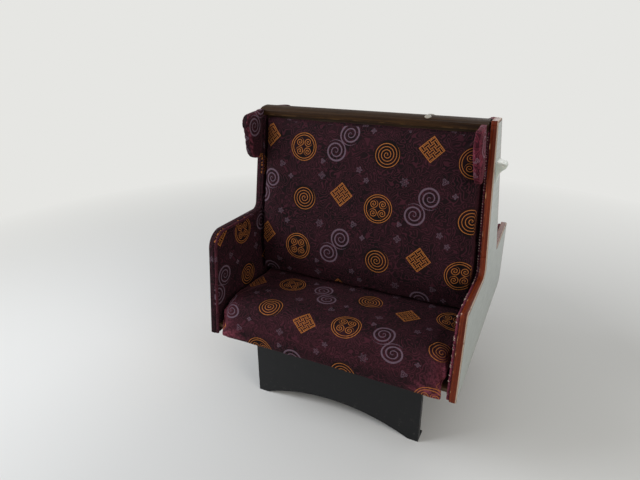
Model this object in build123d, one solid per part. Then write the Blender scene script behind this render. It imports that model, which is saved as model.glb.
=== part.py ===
# Railway coach back-to-back double seat: two bench seats for two people each,
# back to back on one steel stand, between a white laminate end at the aisle
# and a trimmed end against the wall under the window. A wooden rail caps both
# backs, and a head wing stands forward at each end of each back.
#
# Millimetres. Origin on the floor under the middle of the seat. +X points to
# the aisle, +Y along the coach, +Z up. Seat "a" faces -Y and seat "b" is its
# mirror image, facing +Y. "front" of a seat is the side its people face.

from build123d import *
import math
import os

# Overall sizes
WIDTH = 984.0            # wall face of the window end to outer face of the aisle end
END_TOP = 1166.0         # top of both ends
END_BOTTOM = 325.0       # lower edge of both ends, above the floor
END_HALF_BOTTOM = 488.0  # from the middle plane to the front edge, at the bottom
END_HALF_ARM = 457.0     # the same, at the tip of the armrest
END_HALF_NECK = 137.0    # the same, where the armrest meets the upright
END_HALF_TOP = 47.0      # the same, at the top
ARM_TIP_Z = 640.0        # top of the armrest at its tip
ARM_NECK_Z = 627.0       # top of the armrest where it meets the upright
WINDOW_ARM_Z = 742.0     # the window end is higher, up to the window frame

# Aisle end, which leans in over the seat above the armrest
LEAN = 34.0              # how far its top stands in from its foot
LEAN_START_Z = 650.0
BEND_R = 420.0           # radius of the bend in the board
AISLE_BOARD_T = 20.0
WINDOW_BOARD_T = 18.0
EDGING_T = 9.0           # wood edging, across the edge of the board
EDGING_W = 24.0          # its width, a little more than the board's thickness
LINING_T = 10.0          # upholstered lining on the inner face of each end
LINING_INSET = 0.3       # lining to edging
ARM_TIP_R = 16.0
NECK_R = 34.0
TOP_CORNER_R = 10.0
WINDOW_TIP_R = 70.0

# Grab handle moulded to hook over the fingers, on the aisle end's outer face
HANDLE_TOP = 142.0       # its top, below the top of the end
HANDLE_HIGH = 78.0
HANDLE_HALF = 44.0       # half its length along Y, at the board
HANDLE_REACH = 33.0      # from the board's face to its nose
HANDLE_LIP = 19.0        # height of the nose
HANDLE_WAIST = 40.0      # from its top to where its underside turns down the board
HANDLE_WAIST_REACH = 13.0
HANDLE_TAPER = 9.0       # how far its ends draw in by the nose
HANDLE_NOSE_R = 8.0
HANDLE_END_R = 14.0
HANDLE_WAIST_R = 40.0

# Soft parts
SOFT_GAP = 0.3           # soft parts to what they lie against
SEAT_FRONT = 488.0       # front of the seat cushion from the middle plane
SEAT_TOP = 470.0         # crown of the seat cushion
SEAT_REAR_TOP = 458.0    # the cushion falls a little towards the back
SEAT_NOSE = 303.0        # lower edge of the roll at its front
NOSE_R = 62.0            # round upper front of the cushion
NOSE_DROP = 2.0          # the crown's fall towards the round
NOSE_REAR = 4.0          # the face leans back this much by the top
NOSE_LOW_R = 12.0        # round lower edge of the front roll
NOSE_T = 16.0            # how far the front roll stands in front of the board
BACK_SEAT_Y = 150.0      # face of the back cushion where it meets the seat
BACK_LUMBAR_Y = 161.0    # face at the small of the back
BACK_LUMBAR_Z = 590.0
BACK_STRAIGHT_Z = 700.0  # above this the face is flat
BACK_STRAIGHT_Y = 146.0
BACK_TOP_Y = 66.0        # face under the top rail
WING_T = 25.0            # head wing on the aisle end
WING_REACH = 134.0       # how far a wing stands forward of the back's top
WING_DROP = 8.0          # top of a wing, below the top of the end
WING_HIGH = 198.0
WING_TIP_R = 40.0
WING_HEEL_R = 60.0
WING_TIP_DROP = 8.0      # fall of the wing's top towards its front
WING_TAPER = 30.0        # how far its front edge falls back towards the bottom

# Top rail
RAIL_HALF = 50.0
RAIL_BELOW = 1.0         # its crown, below the top of the end
RAIL_RISE = 15.0         # crown over its edges
RAIL_EDGE = 20.0         # height of its upright edges
WALL_GAP = 2.0           # rail and wings to the wall
STUD_R = 12.0            # seat number stud, let into the rail
STUD_T = 5.0
STUD_SINK = 2.0
STUD_IN = 281.0          # from the aisle end's outer face
STUD_Y = 24.0

# Boards and steel
BACK_BOARD_T = 9.0
SEAT_BOARD_T = 12.0
POST_DEPTH = 40.0        # back posts, along Y
POST_WIDTH = 30.0
TUBE = 40.0              # square tube of the seat frame
TUBE_WALL = 2.5
STAND_IN = 137.0         # outer edge of the stand, in from the wall and the aisle end
STAND_FRONT = 370.0      # front face of the stand plates from the middle plane
STAND_TOP = 308.0
PLATE_T = 4.0
PLATE_FOLD = 25.0        # folded side edges of a stand plate
FOOT_X = 40.0            # feet, along X
FOOT_Y = 60.0
FOOT_T = 6.0
ARCH_RISE = 67.0         # arch in the lower edge of each stand plate
FLANGE_Y = 70.0          # end flange of a front tube, along Y
FLANGE_T = 4.0
FOOT_BOLT_R = 5.5
FOOT_BOLT_IN = 36.0      # foot bolt from the front face of the plate
BRACKET_Y = 60.0         # wall bracket, along Y
BRACKET_DROP = 70.0
BRACKET_GAP = 27.0       # from its inner end to the stand
WALL_BOLT_R = 4.5
WALL_BOLT_DROPS = (24.0, 54.0)  # wall bolts, below the top of the bracket

# Worked out from the sizes above
HALF = WIDTH / 2
LEAN_TAN = LEAN / (END_TOP - LEAN_START_Z)
HALF_BEND_TAN = math.tan(math.atan(LEAN_TAN) / 2)
AISLE_ROOM = AISLE_BOARD_T + LINING_T
WINDOW_ROOM = WINDOW_BOARD_T + LINING_T
WINDOW_FACE = -HALF + WINDOW_ROOM
RAIL_CROWN = END_TOP - RAIL_BELOW
RAIL_EDGE_TOP = RAIL_CROWN - RAIL_RISE
RAIL_UNDER = RAIL_EDGE_TOP - RAIL_EDGE
WING_TOP = END_TOP - WING_DROP
WING_BOTTOM = WING_TOP - WING_HIGH
STAND_HALF_X = HALF - STAND_IN
FRAME_TOP = STAND_TOP + TUBE
BACK_FRONT = POST_DEPTH / 2 + BACK_BOARD_T
BELOW = 100.0            # cutters run this far past what they cut


def rounded_face(rows):
    """Flat face from rows of (u, v, corner radius)."""
    face = make_face(Polyline([(u, v) for u, v, _ in rows], close=True))
    for u, v, radius in rows:
        if radius > 0:
            corner = face.vertices().sort_by_distance((u, v, 0))[0]
            face = fillet(corner, radius)
    return face


def across(face, x0, x1):
    """Carry a face drawn in Y, Z along X from x0 to x1."""
    return extrude(Plane.YZ.offset(x0) * face, amount=x1 - x0)


def along(face, y0, y1):
    """Carry a face drawn in X, Z along Y from y0 to y1."""
    return extrude(Plane.XZ.offset(-y0) * face, amount=-(y1 - y0))


def block(x, y, z):
    """Box from (low, high) pairs."""
    size = (x[1] - x[0], y[1] - y[0], z[1] - z[0])
    return Pos(x[0], y[0], z[0]) * Box(*size, align=(Align.MIN, Align.MIN, Align.MIN))


def to_b(shape):
    """Mirror a piece of seat a to seat b."""
    return mirror(shape, about=Plane.XZ)


def aisle_rows(inset, z0, z1):
    """Corners of the aisle end's face, set in by inset, from z0 up to z1."""
    x = HALF - inset
    bend_z = LEAN_START_Z - inset * HALF_BEND_TAN
    top_x = x - (z1 - bend_z) * LEAN_TAN
    return [(x, z0, 0), (x, bend_z, BEND_R - inset), (top_x, z1, 0)]


def aisle_slab(inset_out, inset_in):
    """Bent board shape between two faces set in from the aisle end's outer face."""
    z0 = END_BOTTOM - BELOW
    z1 = END_TOP + BELOW
    rows = aisle_rows(inset_out, z0, z1) + aisle_rows(inset_in, z0, z1)[::-1]
    half_length = END_HALF_BOTTOM + BELOW
    return along(rounded_face(rows), -half_length, half_length)


def between_ends(profile, low_x, z0, z1):
    """Carry a Y, Z profile along X from low_x to just short of the aisle lining."""
    width = across(profile, -HALF, HALF)
    rows = [(low_x, z0, 0)] + aisle_rows(AISLE_ROOM + SOFT_GAP, z0, z1) + [(low_x, z1, 0)]
    depth = END_HALF_BOTTOM + BELOW
    return width & along(rounded_face(rows), -depth, depth)


def upright_y(z):
    """Distance of an upright's straight edge from the middle plane."""
    share = (z - ARM_NECK_Z) / (END_TOP - ARM_NECK_Z)
    return END_HALF_NECK + (END_HALF_TOP - END_HALF_NECK) * share


def end_outline(arm_tip_z, arm_neck_z, tip_r, bottom):
    """Outline of an end in Y, Z: a broad foot with an armrest each way and an upright."""
    neck_y = upright_y(arm_neck_z)
    flare = (END_HALF_BOTTOM - END_HALF_ARM) / (ARM_TIP_Z - END_BOTTOM)
    tip_y = END_HALF_BOTTOM - flare * (arm_tip_z - END_BOTTOM)
    bottom_y = END_HALF_BOTTOM - flare * (bottom - END_BOTTOM)
    # distance from the middle plane, height, corner radius
    half = [
        (bottom_y, bottom, 0),
        (tip_y, arm_tip_z, tip_r),
        (neck_y, arm_neck_z, NECK_R),
        (END_HALF_TOP, END_TOP, TOP_CORNER_R),
    ]
    left = [(-y, z, r) for y, z, r in half]
    return rounded_face(left + half[::-1])


def aisle_outline(inset):
    """Outline of the aisle end, set in all round but open at the bottom."""
    face = end_outline(ARM_TIP_Z, ARM_NECK_Z, ARM_TIP_R, END_BOTTOM - BELOW)
    if inset > 0:
        face = offset(face, amount=-inset)
    keep = Pos(0, END_BOTTOM) * Rectangle(4 * HALF, 4 * HALF, align=(Align.CENTER, Align.MIN))
    return face & keep


def back_face_y(z):
    """Distance of the back cushion's flat upper face from the middle plane."""
    share = (z - BACK_STRAIGHT_Z) / (RAIL_UNDER - BACK_STRAIGHT_Z)
    return BACK_STRAIGHT_Y + (BACK_TOP_Y - BACK_STRAIGHT_Y) * share


def make_aisle_board():
    """White laminate board of the aisle end, bent so that its top leans in."""
    return across(aisle_outline(EDGING_T), 0, WIDTH) & aisle_slab(0, AISLE_BOARD_T)


def make_edging():
    """Varnished wood edging round the aisle board, as seven butted lengths."""
    ring = aisle_outline(0) - aisle_outline(EDGING_T)
    whole = across(ring, 0, WIDTH) & aisle_slab(0, EDGING_W)
    top_cut = END_TOP - 2 * EDGING_T
    neck_cut = ARM_NECK_Z + 2 * NECK_R
    tip_cut = ARM_TIP_Z - 2 * ARM_TIP_R
    # name, lowest and highest point of each length of seat a
    lengths = [
        ("edging_upright", neck_cut, top_cut),
        ("edging_arm", tip_cut, neck_cut),
        ("edging_front", END_BOTTOM, tip_cut),
    ]
    reach = (0, WIDTH)
    parts = {"edging_top": whole & block(reach, (-HALF, HALF), (top_cut, END_TOP))}
    for name, low, high in lengths:
        piece = whole & block(reach, (-WIDTH, 0), (low, high))
        parts[name + "_a"] = piece
        parts[name + "_b"] = to_b(piece)
    return parts


def make_aisle_lining():
    """Upholstered lining on the inner face of the aisle board, seat a's half."""
    face = aisle_outline(EDGING_T + LINING_INSET)
    whole = across(face, 0, WIDTH) & aisle_slab(AISLE_BOARD_T, AISLE_ROOM)
    return whole & block((0, WIDTH), (-WIDTH, 0), (0, 2 * END_TOP))


def window_outline(top):
    """Outline of the window end, its armrest higher and rounder, cut off at the top."""
    face = end_outline(WINDOW_ARM_Z, WINDOW_ARM_Z, WINDOW_TIP_R, END_BOTTOM)
    return face & Pos(0, top) * Rectangle(4 * HALF, 4 * HALF, align=(Align.CENTER, Align.MAX))


def make_window_board():
    """Plywood end against the wall, up to the rail."""
    return across(window_outline(RAIL_UNDER), -HALF, -HALF + WINDOW_BOARD_T)


def make_window_lining():
    """Upholstered lining on the window end, seat a's half."""
    face = window_outline(RAIL_UNDER - SOFT_GAP)
    lining = across(face, -HALF + WINDOW_BOARD_T, WINDOW_FACE)
    return lining & block((-WIDTH, 0), (-WIDTH, 0), (0, 2 * END_TOP))


def make_grab_handle():
    """Moulded handle on the aisle end: a rounded nose, and an underside that runs down the board."""
    top = END_TOP - HANDLE_TOP
    bottom = top - HANDLE_HIGH
    lip = top - HANDLE_LIP
    waist = top - HANDLE_WAIST
    face_x = HALF - (lip - LEAN_START_Z) * LEAN_TAN
    root_x = face_x - AISLE_BOARD_T / 2
    nose_x = face_x + HANDLE_REACH
    side = [
        (root_x, top, 0),
        (nose_x, top, HANDLE_NOSE_R),
        (nose_x, lip, HANDLE_NOSE_R),
        (face_x + HANDLE_WAIST_REACH, waist, HANDLE_WAIST_R),
        (HALF - (bottom - LEAN_START_Z) * LEAN_TAN, bottom, 0),
        (root_x, bottom, 0),
    ]
    nose_half = HANDLE_HALF - HANDLE_TAPER
    plan = [
        (root_x, -HANDLE_HALF, 0),
        (nose_x, -nose_half, HANDLE_END_R),
        (nose_x, nose_half, HANDLE_END_R),
        (root_x, HANDLE_HALF, 0),
    ]
    handle = along(rounded_face(side), -HANDLE_HALF, HANDLE_HALF)
    handle &= Pos(0, 0, bottom) * extrude(rounded_face(plan), amount=HANDLE_HIGH)
    return handle - aisle_slab(0, AISLE_BOARD_T)


def wing_profile(root_high, root_low):
    """Side outline of a head wing: rounded at its tip, falling back at its heel."""
    front = BACK_TOP_Y + WING_REACH
    rows = [
        (-root_high, WING_TOP, 0),
        (-front, WING_TOP - WING_TIP_DROP, WING_TIP_R),
        (-front + WING_TAPER, WING_BOTTOM, WING_HEEL_R),
        (-root_low, WING_BOTTOM, 0),
    ]
    return rounded_face(rows)


def make_aisle_wing():
    """Padded head wing on the leaning aisle end, in front of the back."""
    gap = 2 * SOFT_GAP
    face = wing_profile(back_face_y(WING_TOP) + gap, back_face_y(WING_BOTTOM) + gap)
    return across(face, 0, WIDTH) & aisle_slab(AISLE_ROOM + SOFT_GAP, AISLE_ROOM + WING_T)


def make_window_wing():
    """Padded head wing against the wall, on the front edge of the window end."""
    face = wing_profile(RAIL_HALF + SOFT_GAP, upright_y(WING_BOTTOM) + SOFT_GAP)
    return across(face, -HALF + WALL_GAP, WINDOW_FACE)


def make_back_cushion():
    """Back cushion of seat a: fuller at the small of the back, thin at the top."""
    rear = -BACK_FRONT - SOFT_GAP
    low = SEAT_REAR_TOP + SOFT_GAP
    high = RAIL_UNDER - SOFT_GAP
    base = (-BACK_SEAT_Y, low)
    lumbar = (-BACK_LUMBAR_Y, BACK_LUMBAR_Z)
    flat_start = (-BACK_STRAIGHT_Y, BACK_STRAIGHT_Z)
    top = (-back_face_y(high), high)
    outline = [
        Line((rear, low), base),
        ThreePointArc(base, lumbar, flat_start),
        Polyline(flat_start, top, (rear, high), (rear, low)),
    ]
    return between_ends(make_face(outline), WINDOW_FACE + SOFT_GAP, 0, END_TOP)


def make_seat_cushion():
    """Seat cushion of seat a, its front rolled down over the edge of its board."""
    under = FRAME_TOP + SEAT_BOARD_T + SOFT_GAP
    rear = -BACK_FRONT - SOFT_GAP
    crown_y = -SEAT_FRONT + 2 * NOSE_R
    rows = [
        (rear, under, 0),
        (rear, SEAT_REAR_TOP, 0),
        (-BACK_SEAT_Y, SEAT_REAR_TOP, 0),
        (crown_y, SEAT_TOP, 0),
        (-SEAT_FRONT + NOSE_REAR, SEAT_TOP - NOSE_DROP, NOSE_R),
        (-SEAT_FRONT, SEAT_NOSE, NOSE_LOW_R),
        (-SEAT_FRONT + NOSE_T, SEAT_NOSE, 0),
        (-SEAT_FRONT + NOSE_T, under, 0),
    ]
    return between_ends(rounded_face(rows), WINDOW_FACE + SOFT_GAP, 0, END_TOP)


def rail_section():
    """Section of the top rail, falling both ways from its crown."""
    left = (-RAIL_HALF, RAIL_EDGE_TOP)
    right = (RAIL_HALF, RAIL_EDGE_TOP)
    outline = [
        Line((-RAIL_HALF, RAIL_UNDER), left),
        ThreePointArc(left, (0, RAIL_CROWN), right),
        Polyline(right, (RAIL_HALF, RAIL_UNDER), (-RAIL_HALF, RAIL_UNDER)),
    ]
    return make_face(outline)


def stud_place():
    """Where seat a's number stud sits: on the rail's slope, square to it."""
    radius = (RAIL_HALF ** 2 + RAIL_RISE ** 2) / (2 * RAIL_RISE)
    drop = radius - math.sqrt(radius ** 2 - STUD_Y ** 2)
    tilt = math.degrees(math.asin(STUD_Y / radius))
    return Pos(HALF - STUD_IN, -STUD_Y, RAIL_CROWN - drop) * Rot(tilt, 0, 0)


def make_stud():
    """Domed number stud of seat a, blank."""
    body = Cylinder(STUD_R, STUD_T, align=(Align.CENTER, Align.CENTER, Align.MIN))
    rim = body.edges().group_by(Axis.Z)[-1]
    return stud_place() * Pos(0, 0, -STUD_SINK) * fillet(rim, STUD_T / 3)


def make_top_rail():
    """Wooden capping rail over both backs and the window end, with a spot face for each stud."""
    rail = between_ends(rail_section(), -HALF + WALL_GAP, 0, 2 * END_TOP)
    spot = Cylinder(STUD_R, RAIL_RISE + RAIL_EDGE, align=(Align.CENTER, Align.CENTER, Align.MIN))
    spot = stud_place() * Pos(0, 0, -STUD_SINK) * spot
    return rail - spot - to_b(spot)


def square_tube(length):
    """Square frame tube along X, centred on the origin."""
    bore = TUBE - 2 * TUBE_WALL
    return Box(length, TUBE, TUBE) - Box(length, bore, bore)


def make_front_tube():
    """Frame tube under the front of seat a, with a welded flange at each end."""
    x0 = WINDOW_FACE
    x1 = HALF - AISLE_ROOM
    y = -STAND_FRONT + TUBE / 2
    z = STAND_TOP + TUBE / 2
    tube = Pos((x0 + x1) / 2, y, z) * square_tube(x1 - x0 - 2 * FLANGE_T)
    flange_y = (y - FLANGE_Y / 2, y + FLANGE_Y / 2)
    flange_z = (STAND_TOP, FRAME_TOP)
    tube += block((x0, x0 + FLANGE_T), flange_y, flange_z)
    tube += block((x1 - FLANGE_T, x1), flange_y, flange_z)
    return tube


def make_side_tube(x):
    """Frame tube along Y between the two front tubes, its middle at x."""
    length = 2 * (STAND_FRONT - TUBE)
    return Pos(x, 0, STAND_TOP + TUBE / 2) * Rot(0, 0, 90) * square_tube(length)


def make_cross_tube():
    """Frame tube along X under the backs, between the side tubes."""
    length = 2 * (STAND_HALF_X - TUBE)
    return Pos(0, 0, STAND_TOP + TUBE / 2) * square_tube(length)


def make_post(x):
    """Upright tube between the backs, from the frame to the top rail."""
    height = RAIL_UNDER - FRAME_TOP
    outer = Box(POST_WIDTH, POST_DEPTH, height)
    inner = Box(POST_WIDTH - 2 * TUBE_WALL, POST_DEPTH - 2 * TUBE_WALL, height)
    return Pos(x, 0, FRAME_TOP + height / 2) * (outer - inner)


def make_back_board():
    """Plywood board behind the back cushion of seat a."""
    rows = [
        (-BACK_FRONT, FRAME_TOP, 0),
        (-POST_DEPTH / 2, FRAME_TOP, 0),
        (-POST_DEPTH / 2, RAIL_UNDER, 0),
        (-BACK_FRONT, RAIL_UNDER, 0),
    ]
    return between_ends(rounded_face(rows), WINDOW_FACE + SOFT_GAP, 0, 2 * END_TOP)


def make_seat_board():
    """Plywood board under the seat cushion of seat a."""
    nose = -SEAT_FRONT + NOSE_T + SOFT_GAP
    top = FRAME_TOP + SEAT_BOARD_T
    rows = [
        (nose, FRAME_TOP, 0),
        (-BACK_FRONT, FRAME_TOP, 0),
        (-BACK_FRONT, top, 0),
        (nose, top, 0),
    ]
    return between_ends(rounded_face(rows), WINDOW_FACE + SOFT_GAP, 0, 2 * END_TOP)


def stand_arch():
    """Cutter for the arch in the lower edge of a stand plate, in X, Z."""
    foot_x = STAND_HALF_X - FOOT_X
    arch = [
        ThreePointArc((-foot_x, 0), (0, ARCH_RISE), (foot_x, 0)),
        Line((foot_x, 0), (-foot_x, 0)),
    ]
    return make_face(arch)


def make_stand_plate():
    """Pressed stand plate of seat a: arched below, folded at its top and sides."""
    y0 = -STAND_FRONT
    wide = (-STAND_HALF_X, STAND_HALF_X)
    plate = block(wide, (y0, y0 + PLATE_T), (0, STAND_TOP))
    plate -= along(stand_arch(), y0 - PLATE_T, y0 + 2 * PLATE_T)
    plate += block(wide, (y0, y0 + TUBE), (STAND_TOP - PLATE_T, STAND_TOP))
    for side in (-1, 1):
        edge = side * STAND_HALF_X
        fold = sorted((edge, edge - side * PLATE_T))
        foot = sorted((edge, edge - side * FOOT_X))
        plate += block(fold, (y0, y0 + PLATE_FOLD), (0, STAND_TOP))
        plate += block(foot, (y0, y0 + FOOT_Y), (0, FOOT_T))
        hole = Cylinder(FOOT_BOLT_R, 4 * FOOT_T)
        plate -= Pos(edge - side * FOOT_X / 2, y0 + FOOT_BOLT_IN, 0) * hole
    return plate


def make_wall_bracket():
    """Angle from the front tube of seat a to the wall, with two bolt holes."""
    y = -STAND_FRONT + TUBE / 2
    span = (y - BRACKET_Y / 2, y + BRACKET_Y / 2)
    wall_leg = (-HALF, -HALF + PLATE_T)
    bracket = block(wall_leg, span, (STAND_TOP - BRACKET_DROP, STAND_TOP))
    reach = (-HALF, -STAND_HALF_X - BRACKET_GAP)
    bracket += block(reach, span, (STAND_TOP - PLATE_T, STAND_TOP))
    for drop in WALL_BOLT_DROPS:
        hole = Rot(0, 90, 0) * Cylinder(WALL_BOLT_R, 4 * PLATE_T)
        bracket -= Pos(-HALF, y, STAND_TOP - drop) * hole
    return bracket


def main():
    os.makedirs("parts", exist_ok=True)
    side_x = STAND_HALF_X - TUBE / 2
    parts = {
        "end_panel_aisle": make_aisle_board(),
        "end_panel_window": make_window_board(),
        "grab_handle": make_grab_handle(),
        "top_rail": make_top_rail(),
        "side_tube_aisle": make_side_tube(side_x),
        "side_tube_window": make_side_tube(-side_x),
        "cross_tube": make_cross_tube(),
        "back_post_aisle": make_post(side_x),
        "back_post_middle": make_post(0),
        "back_post_window": make_post(-side_x),
    }
    parts.update(make_edging())
    # pieces of seat a, each with its mirror image on seat b
    pairs = {
        "lining_aisle": make_aisle_lining(),
        "lining_window": make_window_lining(),
        "wing_aisle": make_aisle_wing(),
        "wing_window": make_window_wing(),
        "back_cushion": make_back_cushion(),
        "back_board": make_back_board(),
        "seat_cushion": make_seat_cushion(),
        "seat_board": make_seat_board(),
        "number_stud": make_stud(),
        "front_tube": make_front_tube(),
        "stand_plate": make_stand_plate(),
        "wall_bracket": make_wall_bracket(),
    }
    for name, piece in pairs.items():
        parts[name + "_a"] = piece
        parts[name + "_b"] = to_b(piece)
    for name, shape in parts.items():
        export_step(shape, "parts/" + name + ".step")


main()
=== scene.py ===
"""Railway coach back-to-back double seat: the finish of every surface.

Metres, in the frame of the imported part: origin on the floor under the middle of
the seat, +X to the aisle, +Y along the coach, +Z up. Seat "a" faces -Y and seat
"b" is its mirror image. "depth" is measured from the outer face of an end
inwards, and "inset" from the edge of an end's outline inwards.
"""

import math

import bmesh
import bpy
import numpy as np
from mathutils import Euler, Matrix, Vector


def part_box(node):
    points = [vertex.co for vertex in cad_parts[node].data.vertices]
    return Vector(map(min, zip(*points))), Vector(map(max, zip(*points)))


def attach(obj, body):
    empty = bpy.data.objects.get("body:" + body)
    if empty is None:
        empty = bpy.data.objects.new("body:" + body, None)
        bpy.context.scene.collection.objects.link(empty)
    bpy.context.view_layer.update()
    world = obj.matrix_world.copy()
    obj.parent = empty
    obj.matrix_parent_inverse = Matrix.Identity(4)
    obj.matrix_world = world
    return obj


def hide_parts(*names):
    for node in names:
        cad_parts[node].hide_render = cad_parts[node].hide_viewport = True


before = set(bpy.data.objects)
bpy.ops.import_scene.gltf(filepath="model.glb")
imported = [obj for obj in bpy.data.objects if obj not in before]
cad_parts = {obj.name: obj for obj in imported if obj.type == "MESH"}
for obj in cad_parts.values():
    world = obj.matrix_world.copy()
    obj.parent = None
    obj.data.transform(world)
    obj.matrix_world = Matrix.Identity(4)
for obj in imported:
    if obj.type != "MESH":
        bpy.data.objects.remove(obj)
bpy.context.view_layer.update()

MM = 0.001

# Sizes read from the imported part
PANEL_LOW, PANEL_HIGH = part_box("end_panel_aisle")
WALL_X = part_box("end_panel_window")[0].x
AISLE_X = PANEL_HIGH.x
END_BOTTOM = PANEL_LOW.z
END_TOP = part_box("edging_top")[1].z
END_HALF_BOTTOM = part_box("edging_front_b")[1].y
RAIL_LOW, RAIL_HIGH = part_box("top_rail")
SEAT_BOARD_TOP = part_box("seat_board_a")[1].z

# The ends, as the part has them
ARM_TIP = (457 * MM, 640 * MM, 16 * MM)      # Y, Z and radius
ARM_NECK = (137 * MM, 627 * MM, 34 * MM)
TOP_CORNER = (47 * MM, END_TOP, 10 * MM)
WINDOW_ARM_Z = 742 * MM
WINDOW_TIP_R = 70 * MM
LEAN = 34 * MM
LEAN_START_Z = 650 * MM
BEND_R = 420 * MM
LEAN_TAN = LEAN / (END_TOP - LEAN_START_Z)
BOARD_T = {"aisle": 20 * MM, "window": 18 * MM}
LINING_T = 10 * MM
EDGING_T = 9 * MM
EDGING_W = 24 * MM
SOFT_GAP = 0.3 * MM
# depth at which the space between the linings begins, at each end
LINED = {end: thick + LINING_T + SOFT_GAP for end, thick in BOARD_T.items()}
RAIL_EDGE = 20 * MM                          # height of the rail's upright edges
RAIL_RISE = RAIL_HIGH.z - RAIL_LOW.z - RAIL_EDGE
CROWN_R = (RAIL_HIGH.y ** 2 + RAIL_RISE ** 2) / (2 * RAIL_RISE)
# arrises of the edging and the rail, worn, some partly painted highlight: place round
# the section, how far the mark reaches, the noise value that lets it through, and what
# shows there
EDGING_ARRISES = [
    # the outer arris: a nearly continuous pale line, partly worn varnish and partly painted
    # highlight
    (2.4 * MM, 3.6 * MM, 0.3, "#bfae9a"),
    (24 * MM, 2.6 * MM, 0.56, "#b98a62"),
    (27 * MM, 2.6 * MM, 0.6, "#b98a62"),
]
RAIL_ARRISES = [
    # the lower arrises: a paler line, partly worn varnish and partly painted highlight
    (115 * MM, 2.6 * MM, 0.5, "#4d3820"),
    (214.5 * MM, 2.6 * MM, 0.5, "#4d3820"),
]
ARM_KNOCK = (468 * MM, -449 * MM, 639.5 * MM)    # a bruise on the inner arris of seat a's arm
FOOT_X = 40 * MM
FOOT_T = 6 * MM
FOOT_BOLT_IN = 36 * MM                       # from the stand plate's front face
PLATE_T = 4 * MM
WALL_BOLT_DROPS = (24 * MM, 54 * MM)         # below the top of the bracket
SCREW_IN = 7.5 * MM                          # flange screws, from the flange's edges
SIT_IN = 235 * MM                            # middle of each place to sit, from the seat's middle
SAT_AT_Y = -250 * MM                         # where the seat is sat lowest
LEANT_AT_Z = 800 * MM                        # where the back is leant on most
# folds out of the seat cushion's lower front corners: distance in from the end and
# height where a fold starts, the same where it ends, and its size
CORNER_FOLDS = [
    (4 * MM, 316 * MM, 120 * MM, 372 * MM, 4.0 * MM),
    (4 * MM, 338 * MM, 70 * MM, 410 * MM, -4.0 * MM),
    (10 * MM, 330 * MM, 150 * MM, 340 * MM, 3.0 * MM),
]
# folds either side of each place to sit: distance from its middle and Y where a fold
# starts, the same where it ends, how far it lies under the cushion's top, and its size
SIT_FOLDS = [
    (60 * MM, -270 * MM, 165 * MM, -160 * MM, 0, -3.4 * MM),
    (30 * MM, -430 * MM, 130 * MM, -330 * MM, 6 * MM, -2.6 * MM),
]
WING_HIGH = 198 * MM
# folds over a wing's front: height as a share of the wing, its rise, its reach back and its size
WING_FOLDS = [
    (0.18, 0.10, 22 * MM, -0.8 * MM),
    (0.30, -0.06, 30 * MM, 0.7 * MM),
    (0.52, 0.08, 26 * MM, -0.7 * MM),
    (0.74, -0.05, 24 * MM, 0.6 * MM),
]

# The stage: how far from the seat the floor starts and ends to pass into the backdrop
STAGE_FADE = (1.3, 3.6)
STAGE_HALF = 40.0
BACKDROP = "#e6e6e3"
LIGHT_TARGET = (0, 0, 0.6)
# soft lights: place, side, watts and tint
LIGHTS = {
    "window_light": ((-2.4, -1.6, 2.4), 2.0, 82, "#f6f9ff"),
    "aisle_light": ((2.8, -1.8, 1.9), 1.8, 38, "#fff9f2"),
    "rear_light": ((0.8, 3.0, 2.6), 2.2, 34, "#ffffff"),
}

# The camera, solved from the table edges and window lines in the photograph
CAMERA_PLACE = (0.6704, -1.8423, 1.4470)
CAMERA_YAW = 26.27
CAMERA_PITCH = 22.65
CAMERA_ROLL = -0.33
CAMERA_FOCAL_PX = 498.8
PHOTO_WIDTH_PX = 640
SENSOR_MM = 36.0


# Meshes

def add_piece(name, points, faces, uv=None, sharp=35):
    """Mesh object at the origin. uv holds one row for each point."""
    mesh = bpy.data.meshes.new(name)
    mesh.from_pydata(np.asarray(points).tolist(), [], [list(f) for f in faces])
    mesh.update()
    if uv is not None:
        set_uv(mesh, uv)
    piece = bpy.data.objects.new(name, mesh)
    bpy.context.scene.collection.objects.link(piece)
    mesh.shade_smooth()
    mesh.set_sharp_from_angle(angle=math.radians(sharp))
    return piece


def set_uv(mesh, uv):
    """One UV map in metres of cloth or wood, from one row for each vertex."""
    corners = np.empty(len(mesh.loops), np.int32)
    mesh.loops.foreach_get("vertex_index", corners)
    layer = mesh.uv_layers.new(name="UVMap")
    layer.data.foreach_set("uv", np.asarray(uv)[corners].astype(np.float32).ravel())


def grid_quads(rows, columns, close_columns=False):
    """Quads over points stored row by row, as an array of four corner numbers."""
    last = columns if close_columns else columns - 1
    r, c = np.meshgrid(np.arange(rows - 1), np.arange(last), indexing="ij")
    after = (c + 1) % columns
    quads = np.stack([r * columns + c, r * columns + after,
                      (r + 1) * columns + after, (r + 1) * columns + c], axis=-1)
    return quads.reshape(-1, 4)


def tube_faces(rows, columns):
    """Faces of a grid closed across its columns, with a cap at its first and last row."""
    faces = grid_quads(rows, columns, close_columns=True)[:, ::-1].tolist()
    first = list(range(columns))
    last = [(rows - 1) * columns + c for c in range(columns)]
    return faces + [first, last[::-1]]


def outward(piece):
    """Turn a closed piece's faces so that they all point outwards."""
    shape = bmesh.new()
    shape.from_mesh(piece.data)
    bmesh.ops.recalc_face_normals(shape, faces=shape.faces)
    shape.to_mesh(piece.data)
    shape.free()
    return piece


def mirrored(piece):
    """Copy of a seat a piece for seat b: every Y changes its sign."""
    copy = piece.copy()
    copy.data = piece.data.copy()
    copy.name = piece.name[:-1] + "b"
    bpy.context.scene.collection.objects.link(copy)
    copy.data.transform(Matrix.Diagonal((1.0, -1.0, 1.0, 1.0)))
    copy.data.flip_normals()
    return copy


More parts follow.
